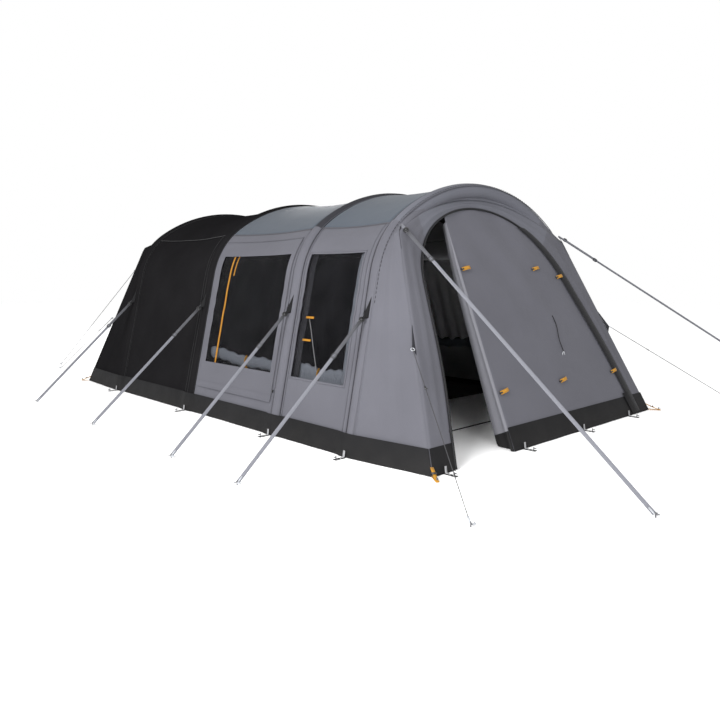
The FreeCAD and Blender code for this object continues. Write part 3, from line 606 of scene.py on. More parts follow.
def beam_sleeves():
    """The bulging sleeves; the two grey ones have dark crowns and the rear two are black."""
    rings, around = 150, 28
    for beam, foot_y in enumerate(BEAM_Y):
        verts, uvs, faces, index = [], [], [], []
        for i in range(rings + 1):
            x, s, nx, nz = TENT.at(over_the_top(i, rings), SLEEVE_R)
            arc = abs(over_the_top(i, rings))
            centre, out = vec(x, 0, s), vec(nx, 0, nz)
            fold = 1 + 0.010 * sin(arc * 41 + beam) * exp(-abs(arc - 1.75) / 0.25)
            fold += 0.006 * soft_noise(arc * 6, beam * 3.1, 0.5)
            for k in range(around):
                t = 2 * pi * k / around
                p = centre + (out * cos(t) + vec(0, 1, 0) * sin(t)) * (SLEEVE_R + 0.002) * fold
                verts.append(on_plane(p.x, max(p.z, 0.002), foot_y) + vec(0, p.y, 0))
                uvs.append((t * SLEEVE_R, arc))
                if i < rings:
                    a, b = i * around + k, i * around + (k + 1) % around
                    faces.append((a, b, b + around, a + around))
                    crown = 1 if beam or k < around / 2 - 2 else 2
                    index.append(crown if arc > EAVE - 0.02 else 0)
        mats = [[WALL, BAND, HOOD], [WALL, TRIM], [DARK, DARK], [DARK, DARK]][beam]
        obj = add(f"sleeve_{beam + 1}", verts, faces, mats, uvs, index)
        placed(obj, ROOT, [f"beam_sleeve_{beam + 1}"])
        for edge, label in ((-1, "front"), (1, "rear")):
            line = []
            for i in range(rings + 1):
                x, s, _, _ = TENT.at(over_the_top(i, rings), SLEEVE_R * 0.36)
                line.append(on_plane(x, max(s, 0.004), foot_y) + vec(0, edge * SLEEVE_R * 0.96, 0))
            trim(f"sleeve_piping_{beam + 1}_{label}", line, circle(0.0035, 6), PIPING if beam > 1 else SEAM)


beam_sleeves()

# ---------------------------------------------------------------- sloping ends


def nearest_arc(x, s):
    """Arc length of the outline's point nearest to (x, s)."""
    best = min(range(0, 401), key=lambda k: dist(TENT.at(TENT.length * k / 400, SLEEVE_R)[:2], (abs(x), s)))
    return TENT.length * best / 400


def end_edge(t, front=True):
    """The sloping end's edge, t from -1 (left foot) over the top to 1 (right foot): x and height."""
    half, apex = (FRONT_HALF, FRONT_APEX) if front else (REAR_HALF, REAR_APEX)
    side, t = (-1 if t < 0 else 1), 1 - abs(t)
    top_x = PULLED_SHOULDER_X if front and side > 0 else SHOULDER_X
    seam = hypot(half - top_x, SHOULDER_Z)
    drop = apex - SHOULDER_Z
    r = (top_x ** 2 + drop ** 2) / (2 * drop)
    share = seam / (seam + r * asin(top_x / r))
    if t <= share:
        k = t / share
        return side * (half + (top_x - half) * k), max(SHOULDER_Z * k, 0.004)
    x = top_x * (1 - (t - share) / (1 - share))
    return side * x, apex - (r - sqrt(r * r - x * x))


def end_cover(name, front, mats):
    """Gores and hood: cloth that curves from an end beam's sleeve to the edge of the sloping end."""
    slope, foot_y, beam_y = (FRONT_SLOPE, FRONT_Y, BEAM_Y[0]) if front else (REAR_SLOPE, REAR_Y, BEAM_Y[3])
    outward = -1 if front else 1
    count, across = 160, 14
    rows, low = [], []
    for i in range(count + 1):
        t = -1 + 2 * i / count
        x, z = end_edge(t or 1e-6, front)
        edge = vec(x, foot_y - outward * slope * z, z)
        px, ps, nx, nz = TENT.at(copysign(nearest_arc(x, z), x), SLEEVE_R)
        centre, out = on_plane(px, max(ps, 0.01), beam_y), vec(nx, 0, nz)
        high = ease((z - 1.15) / 0.6)
        forward = vec(0, outward, 0)
        lap = 0.9 - 0.25 * high
        start = centre + (out * lap + forward * sqrt(1 - lap * lap)) * SLEEVE_R
        normal = (out + forward * 0.6).normalized()
        span = (start - edge).length
        row = []
        for j in range(across + 1):
            u = j / across
            bulge = sin(pi * u) * (0.09 * high - 0.018 * (1 - high)) * span
            pleat = 0.004 * sin(pi * u) * sin(u * 19 + x) * (1 - high) * ease(z / 0.5)
            fold = 0.009 * sin(pi * u) * soft_noise(x * 2.5, z * 1.3, u * 3 + outward)
            row.append(start.lerp(edge, u) + normal * (bulge + pleat + fold))
        rows.append(row)
        low.append(z < HOOD_FROM)
    return lined(grid(name, rows, mats, None, lambda i, j: 0 if low[i] else 1))


HOOD_FROM = 1.8  # height above which the end cloth is the hood's
front_cover = end_cover("front_gore_cloth", True, [WALL, HOOD])
placed(front_cover, ROOT, ["front_gores", "hoods"])
sheet(front_cover)
rear_cover = end_cover("rear_gore_cloth", False, [DARK, DARK])
placed(rear_cover, ROOT, ["rear_gores", "hoods"])
sheet(rear_cover)


def rear_panel():
    """The sloping back, stretched between its two corner seams."""
    def point(i, j):
        k, t = i / 60, 0.998 * (j / 30 - 1)
        p = vec(REAR_HALF * t, 0.004).lerp(Vector(end_edge(t or 1e-6, False)), k)
        hollow = 0.02 * sin(pi * k) * (1 - t * t)
        return rear_at(p.x, p.y * REAR_STRETCH, 0.004 * soft_noise(*p * 2, 7) - hollow)

    return placed(surface("rear_panel_cloth", 60, 60, point, DARK), ROOT, ["rear_panel"])


sheet(rear_panel())


def doorway_lean(s):
    """How far the doorway's arch is drawn to the left at height s by the front left strap."""
    return -0.115 * ease((s - 0.5) / 1.3)


def doorway_edge(t, grow=0.0):
    """The doorway's edge in its plane, t from -1 to 1 over the top, moved outwards by grow."""
    arc = DOORWAY.length * (1 - abs(t))
    x, s, _, _ = DOORWAY.at(copysign(max(arc, 1e-5), t), -grow)
    return x, s


def front_frame():
    """Posts and arched band from the corner seams to the doorway's piped edge."""
    count, across = 160, 10
    rows, crown = [], []
    for i in range(count + 1):
        t = -1 + 2 * i / count or 1e-6
        ix, iz = doorway_edge(t)
        ix += doorway_lean(iz)
        ox, oz = end_edge(t)
        outer, inner = vec(ox, oz * FRONT_STRETCH), vec(ix, max(iz, 0.004))
        row = []
        for j in range(across + 1):
            u = j / across
            p = outer.lerp(inner, u)
            fold = 0.007 * sin(pi * u) * (1 + soft_noise(p.x * 4, p.y * 1.2, 1))
            fold *= ease((p.y - 0.12) / 0.2)
            pleat = 0.004 * sin(u * 15) * sin(pi * u) * ease((p.y - 0.15) / 0.3)
            row.append(front_at(p.x, p.y, 0.001 + fold + pleat))
        rows.append(row)
        crown.append(iz > 1.72)
    obj = lined(grid("front_frame_cloth", rows, [WALL, HOOD], None, lambda i, j: 1 if crown[i] else 0))
    placed(obj, ROOT, ["front_frame"])
    sheet(obj)
    line = [doorway_edge(-1 + 2 * i / count or 1e-6) for i in range(count + 1)]
    line = [above(front_at(x + doorway_lean(s), s, 0.006), 0.01) for x, s in line]
    trim("doorway_piping", line, circle(0.009, 8), PIPING)


front_frame()

FOLD_X = 0.385
FREE_LOW, FREE_HIGH = -0.685, -0.58
DOORWAY_TOP = 2.051
FOLD_HALF = 0.035  # half the width over which the door's fold turns


def free_edge(s):
    """The door's free edge at height s of the front's plane."""
    return FREE_LOW + (FREE_HIGH - FREE_LOW) * s / DOORWAY_TOP


def doorway_half(s):
    return DOORWAY.at(DOORWAY.a_at(s))[0] - 0.003


def front_relief(x, s):
    """The front cloth's soft folds: long diagonals that run down from the arch towards the fold."""
    along = x * 0.55 - s * 0.85
    across = x * 0.85 + s * 0.55
    folds = 0.0055 * sin(across * 15 + 1.6 * soft_noise(along, across, 2))
    folds *= ease((s - 0.3) / 1.2) * (0.35 + 0.65 * ease((0.9 - abs(across - 0.9)) / 0.9))
    broad = 0.014 * soft_noise(x * 1.1, s * 0.8, 4)
    return (folds + broad) * 0.9


def blended(obj):
    """Bakes a sheet's placement into its mesh."""
    front_at(FOLD_X + FOLD_HALF, 1.0)
    front_at(FOLD_X - FOLD_HALF, 1.0)
    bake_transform(obj)
    return obj


def front_cloth():
    """The door cloth, one sheet across the fold between the fixed panel and the leaf."""
    cells = 90

    def point(i, j):
        s = 0.006 + (DOORWAY_TOP - 0.011) * (1 - (1 - i / cells) ** 1.4)
        half, lean = doorway_half(s), doorway_lean(s)
        x0, x1 = max(free_edge(s), lean - half), half + lean
        x = x0 + (x1 - x0) * j / cells
        edge = min(1.0, (half - abs(x - lean)) / 0.08, (s - SKIRT_TOP * FRONT_STRETCH) / 0.12)
        return front_at(x, s, front_relief(x, s) * max(edge, 0.0))

    obj = blended(lined(surface("front_door_cloth", cells, cells, point, DOOR)))
    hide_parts("front_panel", "front_door")
    return obj


sheet(front_cloth())


def door_return():
    """The door's free side: a rolled edge that turns back into the tent."""
    depth = 0.15
    rows = []
    for i in range(61):
        s = 0.004 + 1.9 * i / 60
        x = free_edge(s)
        shrink = 1 - 0.55 * i / 60
        roll = 0.016 * (1 - 0.85 * ease((s - 1.45) / 0.45))
        row = []
        for j in range(19):
            u = j / 18
            if u < 0.35:
                turn = pi * 1.15 * u / 0.35
                p = front_at(x - roll * sin(turn), s, roll * (cos(turn) - 1))
            else:
                reach = (u - 0.35) / 0.65 * depth * shrink
                wave = 0.012 * sin(reach * 40 + s * 2.5) * min(1, reach / 0.03)
                p = front_at(x + roll * 0.45 + wave + 0.3 * reach, s, -2 * roll * 0.97 - reach)
            row.append(above(p, 0.004))
        rows.append(row)
    obj = grid("door_return_cloth", rows, [RETURN, SKIRT], None, lambda i, j: 1 if i < 5 else 0)
    placed(obj, "front_door", ["front_door_flap"])
    return obj


sheet(door_return())


def skirt_front(name, x0, x1, cells):
    """Mud skirt outside the foot of the sloping front, between x0 and x1."""
    def point(i, j):
        s = SKIRT_TOP * FRONT_STRETCH * i / 6
        x = x0(s) + (x1(s) - x0(s)) * j / cells
        wave = 0.004 * soft_noise(x * 5, s * 6, 9)
        return above(front_at(x, s, 0.005 + wave * (1 - i / 8)), 0.003)

    return surface(name, 6, cells, point, SKIRT)


def seam_half(s):
    return FRONT_HALF + (SHOULDER_X - FRONT_HALF) * s / (SHOULDER_Z * FRONT_STRETCH)


post_skirt = skirt_front("skirt_front_left", lambda s: -seam_half(s) - 0.004,
                         lambda s: -doorway_half(s) - 0.006, 8)
placed(post_skirt, ROOT, ["mud_skirt_front"])
sheet(post_skirt)
door_skirt = skirt_front("skirt_front_door", lambda s: free_edge(s) - 0.004, lambda s: seam_half(s) + 0.004, 70)
blended(door_skirt)
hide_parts("door_skirt", "mud_skirt_front")
sheet(door_skirt)


def skirt_side(side):
    """The mud skirt along one side, drawn out round each beam's foot."""
    ends = (FRONT_Y, REAR_Y)
    ys = steps([ends[0], *BEAM_Y, ends[1]], 0.035)
    rows = []
    for i in range(8):
        z = 0.003 + (SKIRT_TOP - 0.003) * i / 7
        row = []
        for y in ys:
            if y < BEAM_Y[0]:
                k = (BEAM_Y[0] - y) / (BEAM_Y[0] - ends[0])
                foot, lean = 1.727 + (FRONT_HALF + 0.006 - 1.727) * k, 0.263
            elif y > BEAM_Y[3]:
                k = (y - BEAM_Y[3]) / (ends[1] - BEAM_Y[3])
                foot, lean = 1.727 + (REAR_HALF + 0.006 - 1.727) * k, 0.27
            else:
                gap = min(abs(y - b) for b in BEAM_Y)
                foot, lean = 1.722 - 0.016 * ease((gap - 0.05) / 0.08), tan(WALL_LEAN)
            lean_y = BEAM_TILT * z
            if y < BEAM_Y[0]:
                lean_y += (FRONT_SLOPE - BEAM_TILT) * z * k
            if y > BEAM_Y[3]:
                lean_y -= (REAR_SLOPE + BEAM_TILT) * z * k
            wave = 0.005 * soft_noise(y * 4, z * 5, side * 3) * (1 - i / 9)
            row.append(vec(side * (foot - lean * z + wave), y + lean_y, z))
        rows.append(row)
    label = SIDES[side]
    obj = grid(f"skirt_{label}", rows, SKIRT)
    placed(obj, ROOT, [f"mud_skirt_{label}"])
    sheet(obj)


skirt_side(-1)
skirt_side(1)


def skirt_rear():
    def point(i, j):
        s = SKIRT_TOP * REAR_STRETCH * i / 6
        x = (j / 40 - 1) * (REAR_HALF - (REAR_HALF - SHOULDER_X) * s / (SHOULDER_Z * REAR_STRETCH))
        wave = 0.004 * soft_noise(x * 4, s * 4, 12)
        return above(rear_at(x, s, 0.005 + wave * (1 - i / 8)), 0.003)

    obj = placed(surface("skirt_rear", 6, 80, point, SKIRT), ROOT, ["mud_skirt_rear"])
    sheet(obj)


skirt_rear()

# ---------------------------------------------------------------- inside

FLOOR_HALF, FLOOR_FRONT, FLOOR_REAR, FLOOR_EDGE, FLOOR_INSET = 1.56, -1.155, 2.738, 0.07, 0.003
INNER_DEPTH, INNER_FRONT, INNER_BACK = 0.156, BEAM_Y[2] + 0.085, REAR_Y - 0.06
INNER_TOP = TENT.at(TENT.length, INNER_DEPTH)[1]
BEDROOM_DOOR = (0.25, 0.95, 0.12, 1.56)


def groundsheet():
    """The black tray floor, a little rumpled, with its sides and back turned up."""
    xs = steps([-FLOOR_HALF + FLOOR_INSET, FLOOR_HALF - FLOOR_INSET], 0.06)
    ys = steps([FLOOR_FRONT, FLOOR_REAR - FLOOR_INSET], 0.06)
    rise = [0.35, 0.7, 1.0]  # shares of the turned up edge's height
    rows = [[vec(x, y, 0.0025 + 0.005 * (1 + soft_noise(x * 3, y * 3, 1))) for x in xs] for y in ys]
    rows += [[vec(p.x, p.y + 0.001 * share, FLOOR_EDGE * share) for p in rows[-1]] for share in rise]
    full = []
    for row in rows:
        left, right = [[above(end, FLOOR_EDGE * share * 0.97) for share in rise] for end in (row[0], row[-1])]
        full.append(left[::-1] + row + right)
    obj = placed(grid("groundsheet_tray", full, FLOOR_CLOTH), ROOT, ["groundsheet"])
    sheet(obj)


def inner_half(s):
    """Half the bedroom's width at height s."""
    return TENT.at(TENT.a_at(s, INNER_DEPTH), INNER_DEPTH)[0]


def inner_shell():
    """The bedroom's walls and roof, hung inside the rear bay, and its back."""
    arcs = steps([0.07, TENT.length], 0.06)
    signed = [-a for a in arcs] + arcs[-2::-1]

    def point(i, k):
        x, s, nx, nz = TENT.at(signed[i], INNER_DEPTH)
        y = INNER_FRONT + (INNER_BACK - (REAR_SLOPE + BEAM_TILT) * s - INNER_FRONT) * k / 30
        sag = abs(0.02 * sin(pi * k / 30) * soft_noise(signed[i] * 2, y * 2, 5))
        return on_plane(x - nx * sag, s - nz * sag, y)

    obj = surface("inner_tent_shell", len(signed) - 1, 30, point, INNER)
    placed(obj, ROOT, ["inner_tent_body"])
    sheet(obj)
    rows = []
    for i in range(31):
        s = 0.02 + 1.9 * i / 30
        half = inner_half(min(s, INNER_TOP - 0.005))
        rows.append([vec(half * (j / 20 - 1), INNER_BACK - REAR_SLOPE * s, s) for j in range(41)])
    obj = placed(grid("inner_tent_back", rows, INNER), ROOT, ["inner_tent_body"])
    sheet(obj)


def inner_front():
    """The bedroom's front wall with its doorway and soft vertical folds."""
    x0, x1, z0, z1 = BEDROOM_DOOR
    heights = steps([0.012, z0, z1, INNER_TOP - 0.01], 0.05)
    counts = (24, 12, 12)  # cells left of, across and right of the doorway
    rows = []
    for s in heights:
        half = inner_half(s)
        marks = [-half, x0, x1, half] if half > x1 else [-half, -half / 3, half / 3, half]
        xs = [a + (b - a) * k / n for a, b, n in zip(marks, marks[1:], counts) for k in range(n)] + [half]
        rows.append([on_plane(x, s, INNER_FRONT - 0.004 - 0.005 * (1 + sin(x * 17))) for x in xs])

    def keep(i, j):
        return not (z0 < (heights[i] + heights[i + 1]) / 2 < z1 and counts[0] <= j < counts[0] + counts[1])

    obj = placed(grid("inner_tent_wall", rows, INNER, keep), ROOT, ["inner_tent_front"])
    sheet(obj)


groundsheet()
inner_shell()
inner_front()

# ---------------------------------------------------------------- windows' curtains and zips


def curtain(label, side, bay, opening, drop, skew):
    """A rolled curtain along a window's sill, with its amber toggle."""
    y0, y1, a0, _ = opening_arc(opening)
    line = walk(24, lambda u: skin(bay, y0 + (y1 - y0) * u,
                                   side * (a0 + 0.045 + skew * u + 0.012 * sin(u * 9)), -0.06))
    section = [(x * (1.9 + 0.25 * sin(3 * k)), y * 0.7) for k, (x, y) in enumerate(circle(0.028, 14))]
    roll = swept(f"curtain_roll_{label}", line, section, CURTAIN, vec(side, 0, 0),
                 lambda i: 1 + 0.14 * sin(i * 1.7))
    body = "side_door" if label == "left_door" else ROOT
    placed(roll, body)
    middle = line[int(24 * drop)]
    band = [middle + vec(side * 0.034 * cos(radians(d)), 0, 0.06 * sin(radians(d)))
            for d in range(-80, 81, 16)]
    trim(f"curtain_toggle_{label}", band, flat(0.022, 0.003), AMBER, vec(0, 1, 0), body)


def gathered_curtain(label, side, bay, opening, height):
    """The curtain's gathered lower edge, which hangs in ribs behind a window's foot."""
    y0, y1, a0, _ = opening_arc(opening)
    obj = placed(surface(f"gathered_curtain_{label}", 4, 120, lambda i, k: skin(
        bay, y0 + (y1 - y0) * k / 120, side * (a0 - 0.02 + height * i / 4), -0.045 - 0.008 * sin(k * 1.3)),
        CURTAIN))
    sheet(obj)


for label, side, bay, opening, drop, skew in (
    ("left_front", -1, 0, WINDOW_FRONT, 0.55, 0.02), ("left_door", -1, 1, WINDOW_MIDDLE, 0.45, 0.05),
    ("right_front", 1, 0, WINDOW_FRONT, 0.5, 0.0), ("right_middle", 1, 1, WINDOW_MIDDLE, 0.5, 0.0),
):
    curtain(label, side, bay, opening, drop, skew)
gathered_curtain("left_front", -1, 0, WINDOW_FRONT, 0.1)


def mesh_panel(label, side, bay, opening):
    """The black fly mesh that hangs behind a pane, in soft folds."""
    y0, y1, a0, a1 = opening_arc(opening)
    ys, avals = steps([y0 - 0.05, y1 + 0.05], 0.03), steps([a0 - 0.04, a1 + 0.04], 0.05)
    rows = [[skin(bay, y, side * a, -0.125 - 0.012 * sin(y * 21 + 2 * soft_noise(y * 3, a * 2, 1)))
             for y in ys] for a in avals]
    obj = grid(f"fly_mesh_{label}", rows, MESH)
    placed(obj, "side_door" if label == "left_door" else ROOT)
    sheet(obj)


mesh_panel("left_front", -1, 0, WINDOW_FRONT)
mesh_panel("left_door", -1, 1, WINDOW_MIDDLE)
mesh_panel("right_front", 1, 0, WINDOW_FRONT)


def side_curtain():
    """The curtain that hangs over the far middle window, scalloped along its foot; its light grey cloth is painted
    lighter still, painted light for the daylight through that window.
    """
    y0, y1, a0, a1 = opening_arc(WINDOW_MIDDLE)

    def point(i, k):
        u = k / 80
        foot = a0 - 0.03 + 0.07 * abs(sin(u * pi * 2.5))
        return skin(1, y0 - 0.05 + (y1 - y0 + 0.1) * u, foot + (a1 + 0.03 - foot) * i / 30,
                    -0.05 - 0.014 * sin(u * 45) * (1 - i / 40))

    sheet(placed(surface("far_window_curtain", 30, 80, point, CURTAIN_PAINTED_LIGHT)))


side_curtain()


def window_fittings():
    """What shows behind the left panes: zip tapes, the front window's beam strips, rungs and cord."""
    facing = vec(-1, 0, 0.3)
    y0, y1, a0, a1 = opening_arc(WINDOW_MIDDLE)
    # The zip tapes and rungs here use the amber with painted light.
    for name, width, y, low, lift in (("long", 0.024, y1 - 0.14, a0 - 0.01, -0.02),
                                      ("short", 0.016, y1 - 0.2, a1 - 0.2, -0.024)):
        trim(f"window_zip_tape_{name}", walk(24, lambda u: skin(1, y, -(low + (a1 + 0.03 - low) * u), lift)),
             flat(width, 0.003), AMBER_PAINTED_LIGHT, facing, "side_door")
    y0, y1, a0, a1 = opening_arc(WINDOW_FRONT)
    rise = a1 - a0
    for name, y, width, mat in (("rear", y1 - 0.035, 0.07, TRIM), ("front", y0 + 0.03, 0.05, CURTAIN)):
        trim(f"window_side_strip_{name}", walk(24, lambda u: skin(0, y, -(a0 - 0.02 + (rise + 0.04) * u), -0.022)),
             flat(width, 0.004), mat, facing)
    for name, share in (("1", 0.3), ("2", 0.48)):
        trim(f"window_rung_{name}", walk(4, lambda u: skin(0, y1 - 0.06 - 0.1 * u, -(a0 + rise * share), -0.018)),
             flat(0.018, 0.003), AMBER_PAINTED_LIGHT, facing)
    trim("window_cord", walk(12, lambda u: skin(0, y1 - 0.09 - 0.22 * u, -(a0 + rise * (0.47 - 0.47 * u)), -0.03)),
         circle(0.004, 6), PALEWEB)


window_fittings()


def side_door_zip():
    """The zip chain round the side door's three free edges."""
    y0, y1, a0, a1 = opening_arc(SIDE_DOOR)
    path = cloth_path([(y1, a0), (y0, a0), (y0, a1), (y1, a1)], 0.03) + [(y1, a1)]
    trim("side_door_zip", [skin(1, y, -a, 0.002) for y, a in path], flat(0.006, 0.004), SEAM, vec(-1, 0, 0.3))


side_door_zip()


def door_sill():
    """The loose lip of the side door's foot, which stands off and casts a dark line."""
    y0, y1, a0, _ = opening_arc(SIDE_DOOR)
    lip = surface("side_door_lip", 3, 40, lambda i, k: skin(
        1, y0 + (y1 - y0) * k / 40, -(a0 + 0.05 - 0.02 * i),
        0.003 + 0.016 * (i / 3) ** 2 * sin(pi * (0.1 + 0.8 * k / 40))), WALL)
    placed(lip, "side_door")


door_sill()
for label, side, bay, opening in (("left_front", -1, 0, WINDOW_FRONT), ("right_front", 1, 0, WINDOW_FRONT),
                                  ("right_middle", 1, 1, WINDOW_MIDDLE)):
    binding(f"window_tape_{label}", bay, side, opening)

# ---------------------------------------------------------------- front details


def front_band(name, s0, s1, inner, outer, mat, proud=0.012):
    """A strip beside the doorway's right edge, from s0 to s1, between two distances inside that edge."""
    def point(i, k):
        s = s0 + (s1 - s0) * i / 60
        return front_at(doorway_half(s) + doorway_lean(s) - inner - (outer - inner) * k / 4, s,
                        proud + 0.006 * sin(pi * k / 4))

    obj = surface(name, 60, 4, point, mat)
    solidify(obj, 0.0015)
    placed(obj)


# A near-black strip, 11 cm wide, along the doorway's right edge from the ground to near the top.
front_band("dark_band_right", 0.02, 1.9, -0.05, 0.06, PIPING)
front_band("corner_patch_right", 0.01, 0.22, 0.0, 0.11, SKIRT, 0.014)


def amber_tab(index, x, z, body):
    """A toggle band sewn to the front cloth."""
    s = z * FRONT_STRETCH
    line = walk(8, lambda u: front_at(x + 0.11 * u - 0.055, s + 0.018 * u, 0.014 + 0.012 * sin(pi * u)))
    trim(f"amber_tab_{index}", line, flat(0.03, 0.004), AMBER,
         (front_at(x, s, 0.004) - front_at(x, s, 0)).normalized(), body)
    trim(f"amber_tab_foot_{index}", [line[0] - vec(0.008, 0, 0), line[0], line[1]], circle(0.008, 8), BUCKLE,
         None, body)


for index, (x, z, body) in enumerate((
    (-0.545, 1.352, "front_door"), (0.47, 1.358, ROOT), (0.83, 1.286, ROOT),
    (-0.58, 0.413, "front_door"), (0.29, 0.41, "front_door"), (1.2, 0.401, ROOT),
)):
    amber_tab(index + 1, x, z, body)


def hanging_loop():
    """A thin tie with a plastic loop that hangs on the fixed panel."""
    line = walk(12, lambda u: front_at(0.47 - 0.03 * u + 0.012 * sin(u * 7), (0.95 - 0.31 * u) * FRONT_STRETCH,
                                       0.012 + 0.006 * sin(u * 3)))
    trim("panel_tie", line, circle(0.0035, 6), LOOPWEB)
    ring = loop(line[-1] - UP * 0.042, UP * 0.042, vec(0.018, 0, 0), 16)
    trim("panel_tie_loop", ring, circle(0.004, 6), CLIP)


hanging_loop()

# ---------------------------------------------------------------- straps, guys and pegs

STRAP_W, STRAP_T, GUY_R = 0.025, 0.0016, 0.0028
SIDE_PEG_X, SIDE_PEG_Y = 2.64, (-2.095, -1.225, 0.22, 1.695)
STRAP_END_Z, STRAP_END_GAP = 0.014, 0.008
FRONT_ANCHOR = (1.125, -2.062, 1.69)
FRONT_PEGS = ((-1.29, -4.14), (2.178, -4.361))
CORNER_ANCHOR = (1.441, -2.476, 0.812)
CORNER_PEGS = ((-2.135, -3.535), (1.943, -3.725))
REAR_GUYS = (((1.11, 2.123, 1.6), (1.385, 4.602)), ((1.474, 2.452, 0.8), (1.545, 4.162)))
SLIDER_AT, FRONT_SLIDER_AT = 0.45, 0.42


def strap_axes(anchor, peg, toward=None):
    """Start, end and the along, level and up directions of a strap, its face turned a little toward a side."""
    anchor = Vector(anchor)
    along = (vec(peg[0], peg[1], STRAP_END_Z) - anchor).normalized()
    end = vec(peg[0], peg[1], STRAP_END_Z) - along * STRAP_END_GAP
    level = UP.cross(along).normalized()
    up = along.cross(level)
    if toward:
        turned = Vector(toward) - along * along.dot(Vector(toward))
        up = (up + turned.normalized() * 1.2).normalized()
        level = up.cross(along).normalized()
    return anchor, end, along, level, up


def points_between(a, b, size=0.08):
    n = max(2, round((b - a).length / size))
    return [a.lerp(b, k / n) for k in range(n + 1)]


def peg_hook(name, end, along, level, up):
    """The hook at a strap's end, which takes the peg."""
    line = [end - along * 0.045, end - along * 0.02]
    line += [end - along * 0.008 + along * 0.016 * sin(t) + level * 0.014 * (1 - cos(t)) for t in
             (0.3, 0.9, 1.5, 2.1, 2.7)]
    return placed(swept(name, line, [(x * 1.6, y) for x, y in circle(0.0045, 8)], CLIP, up))


def cam_buckle(name, anchor, along, level, up, distance):
    """The round black cam buckle near a strap's head, on its tab of webbing."""
    at = anchor + along * distance + up * 0.006
    rim = swept(f"{name}_rim", loop(at, along * 0.019, level * 0.017, 20), circle(0.0055, 8), BUCKLE, up)
    bar = swept(f"{name}_bar", [at - level * 0.017, at + level * 0.017], circle(0.0045, 8), BUCKLE, up)
    line = [at - along * 0.017 + up * 0.004, at + up * 0.009, at + along * 0.012 + up * 0.005]
    return placed(joined(name, [rim, bar, swept(f"{name}_tongue", line, flat(0.016, 0.004), BUCKLE, up)]))


def ladder_slider(name, anchor, along, level, up, distance):
    """A ladder buckle: a rounded frame with two bars that the webbing passes round."""
    at = anchor + along * distance
    half_l, half_w = 0.019, 0.017

    def rounded(value):
        return copysign(abs(value) ** 0.5, value)

    outline = walk(28, lambda u: at + along * half_l * rounded(cos(2 * pi * u))
                   + level * half_w * rounded(sin(2 * pi * u)))
    parts = [swept(f"{name}_rim", outline, [(x, y * 1.25) for x, y in circle(0.0032, 8)], BUCKLE, up)]
    for share in (-0.38, 0.38):
        bar = at + along * half_l * share
        line = [bar - level * half_w, bar + level * half_w]
        parts.append(swept(f"{name}_bar", line, circle(0.0028, 8), BUCKLE, up))
    lip = at + along * half_l + up * 0.003
    parts.append(swept(f"{name}_lip", [lip - level * 0.012, lip + level * 0.012], flat(0.008, 0.003), BUCKLE, up))
    return placed(joined(f"{name}_buckle", parts), name, [name])


def storm_strap(label, node, anchor, peg, slider_at, toward):
    """One storm strap: doubled webbing from its cam buckle to its slider, then single to its hook."""
    anchor, end, along, level, up = strap_axes(anchor, peg, toward)
    main = swept(f"strap_{label}", points_between(anchor, end), flat(STRAP_W, STRAP_T), WEB, up)
    tail = points_between(anchor + along * 0.1 + up * 0.004, anchor + along * (slider_at - 0.02) + up * 0.0035)
    back = swept(f"strap_tail_{label}", tail, flat(STRAP_W * 1.04, STRAP_T), TAILWEB, up)
    obj = joined(f"strap_{label}", [main, back])
    placed(obj, ROOT, [node])
    hook = peg_hook(f"strap_hook_{label}", end, *strap_axes(anchor, peg)[2:])
    buckle = cam_buckle(f"cam_buckle_{label}", anchor, along, level, up, 0.075)
    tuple(anchor)
    name = f"front_strap_slider_{label[6:]}" if label.startswith("front") else f"strap_slider_{label}"
    ladder_slider(name, anchor, along, level, up, slider_at)


def strap_web(label, beam, side):
    """The wings that spread a strap's pull: a black one up the sleeve and a grey one beside it."""
    a = TENT.a_at(ANCHOR_S)
    anchor, _, along, _, up = strap_axes(side_anchor(side, beam), (side * SIDE_PEG_X, SIDE_PEG_Y[beam]))
    tip = anchor + along * 0.07 + up * 0.002
    for name, mat, turn, low, high in (("black", LOOPWEB, -0.35, -0.035, 0.125),
                                       ("grey", DARK if beam > 1 else WALL, 0.55, -0.03, 0.07)):
        def point(i, j):
            x, s, nx, nz = TENT.at(side * (a + low + (high - low) * j / 6), SLEEVE_R)
            out = (vec(nx, 0, nz) * cos(turn) + vec(0, 1, 0) * sin(turn)) * (SLEEVE_R + 0.002)
            root = on_plane(x + out.x, s + out.z, BEAM_Y[beam]) + vec(0, out.y, 0)
            return root.lerp(tip, (i / 8) ** 0.9)

        obj = surface(f"strap_web_{name}_{label}", 8, 6, point, mat)
        solidify(obj, 0.0015, 1.0)
        placed(obj)


def side_anchor(side, beam):
    x, s, _, _ = TENT.at(side * TENT.a_at(ANCHOR_S), -0.003)
    return on_plane(x, s, BEAM_Y[beam])


for side, label in SIDES.items():
    for beam in range(4):
        name = f"{label}_{beam + 1}"
        storm_strap(name, f"storm_straps_{label}", side_anchor(side, beam), (side * SIDE_PEG_X, SIDE_PEG_Y[beam]),
                    SLIDER_AT, (0, -1, 0))
        strap_web(name, beam, side)
for side, label, peg in ((-1, "left", FRONT_PEGS[0]), (1, "right", FRONT_PEGS[1])):
    anchor = (side * FRONT_ANCHOR[0], *FRONT_ANCHOR[1:])
    storm_strap(f"front_{label}", "front_storm_straps", anchor, peg, FRONT_SLIDER_AT, (side, 0, 0))


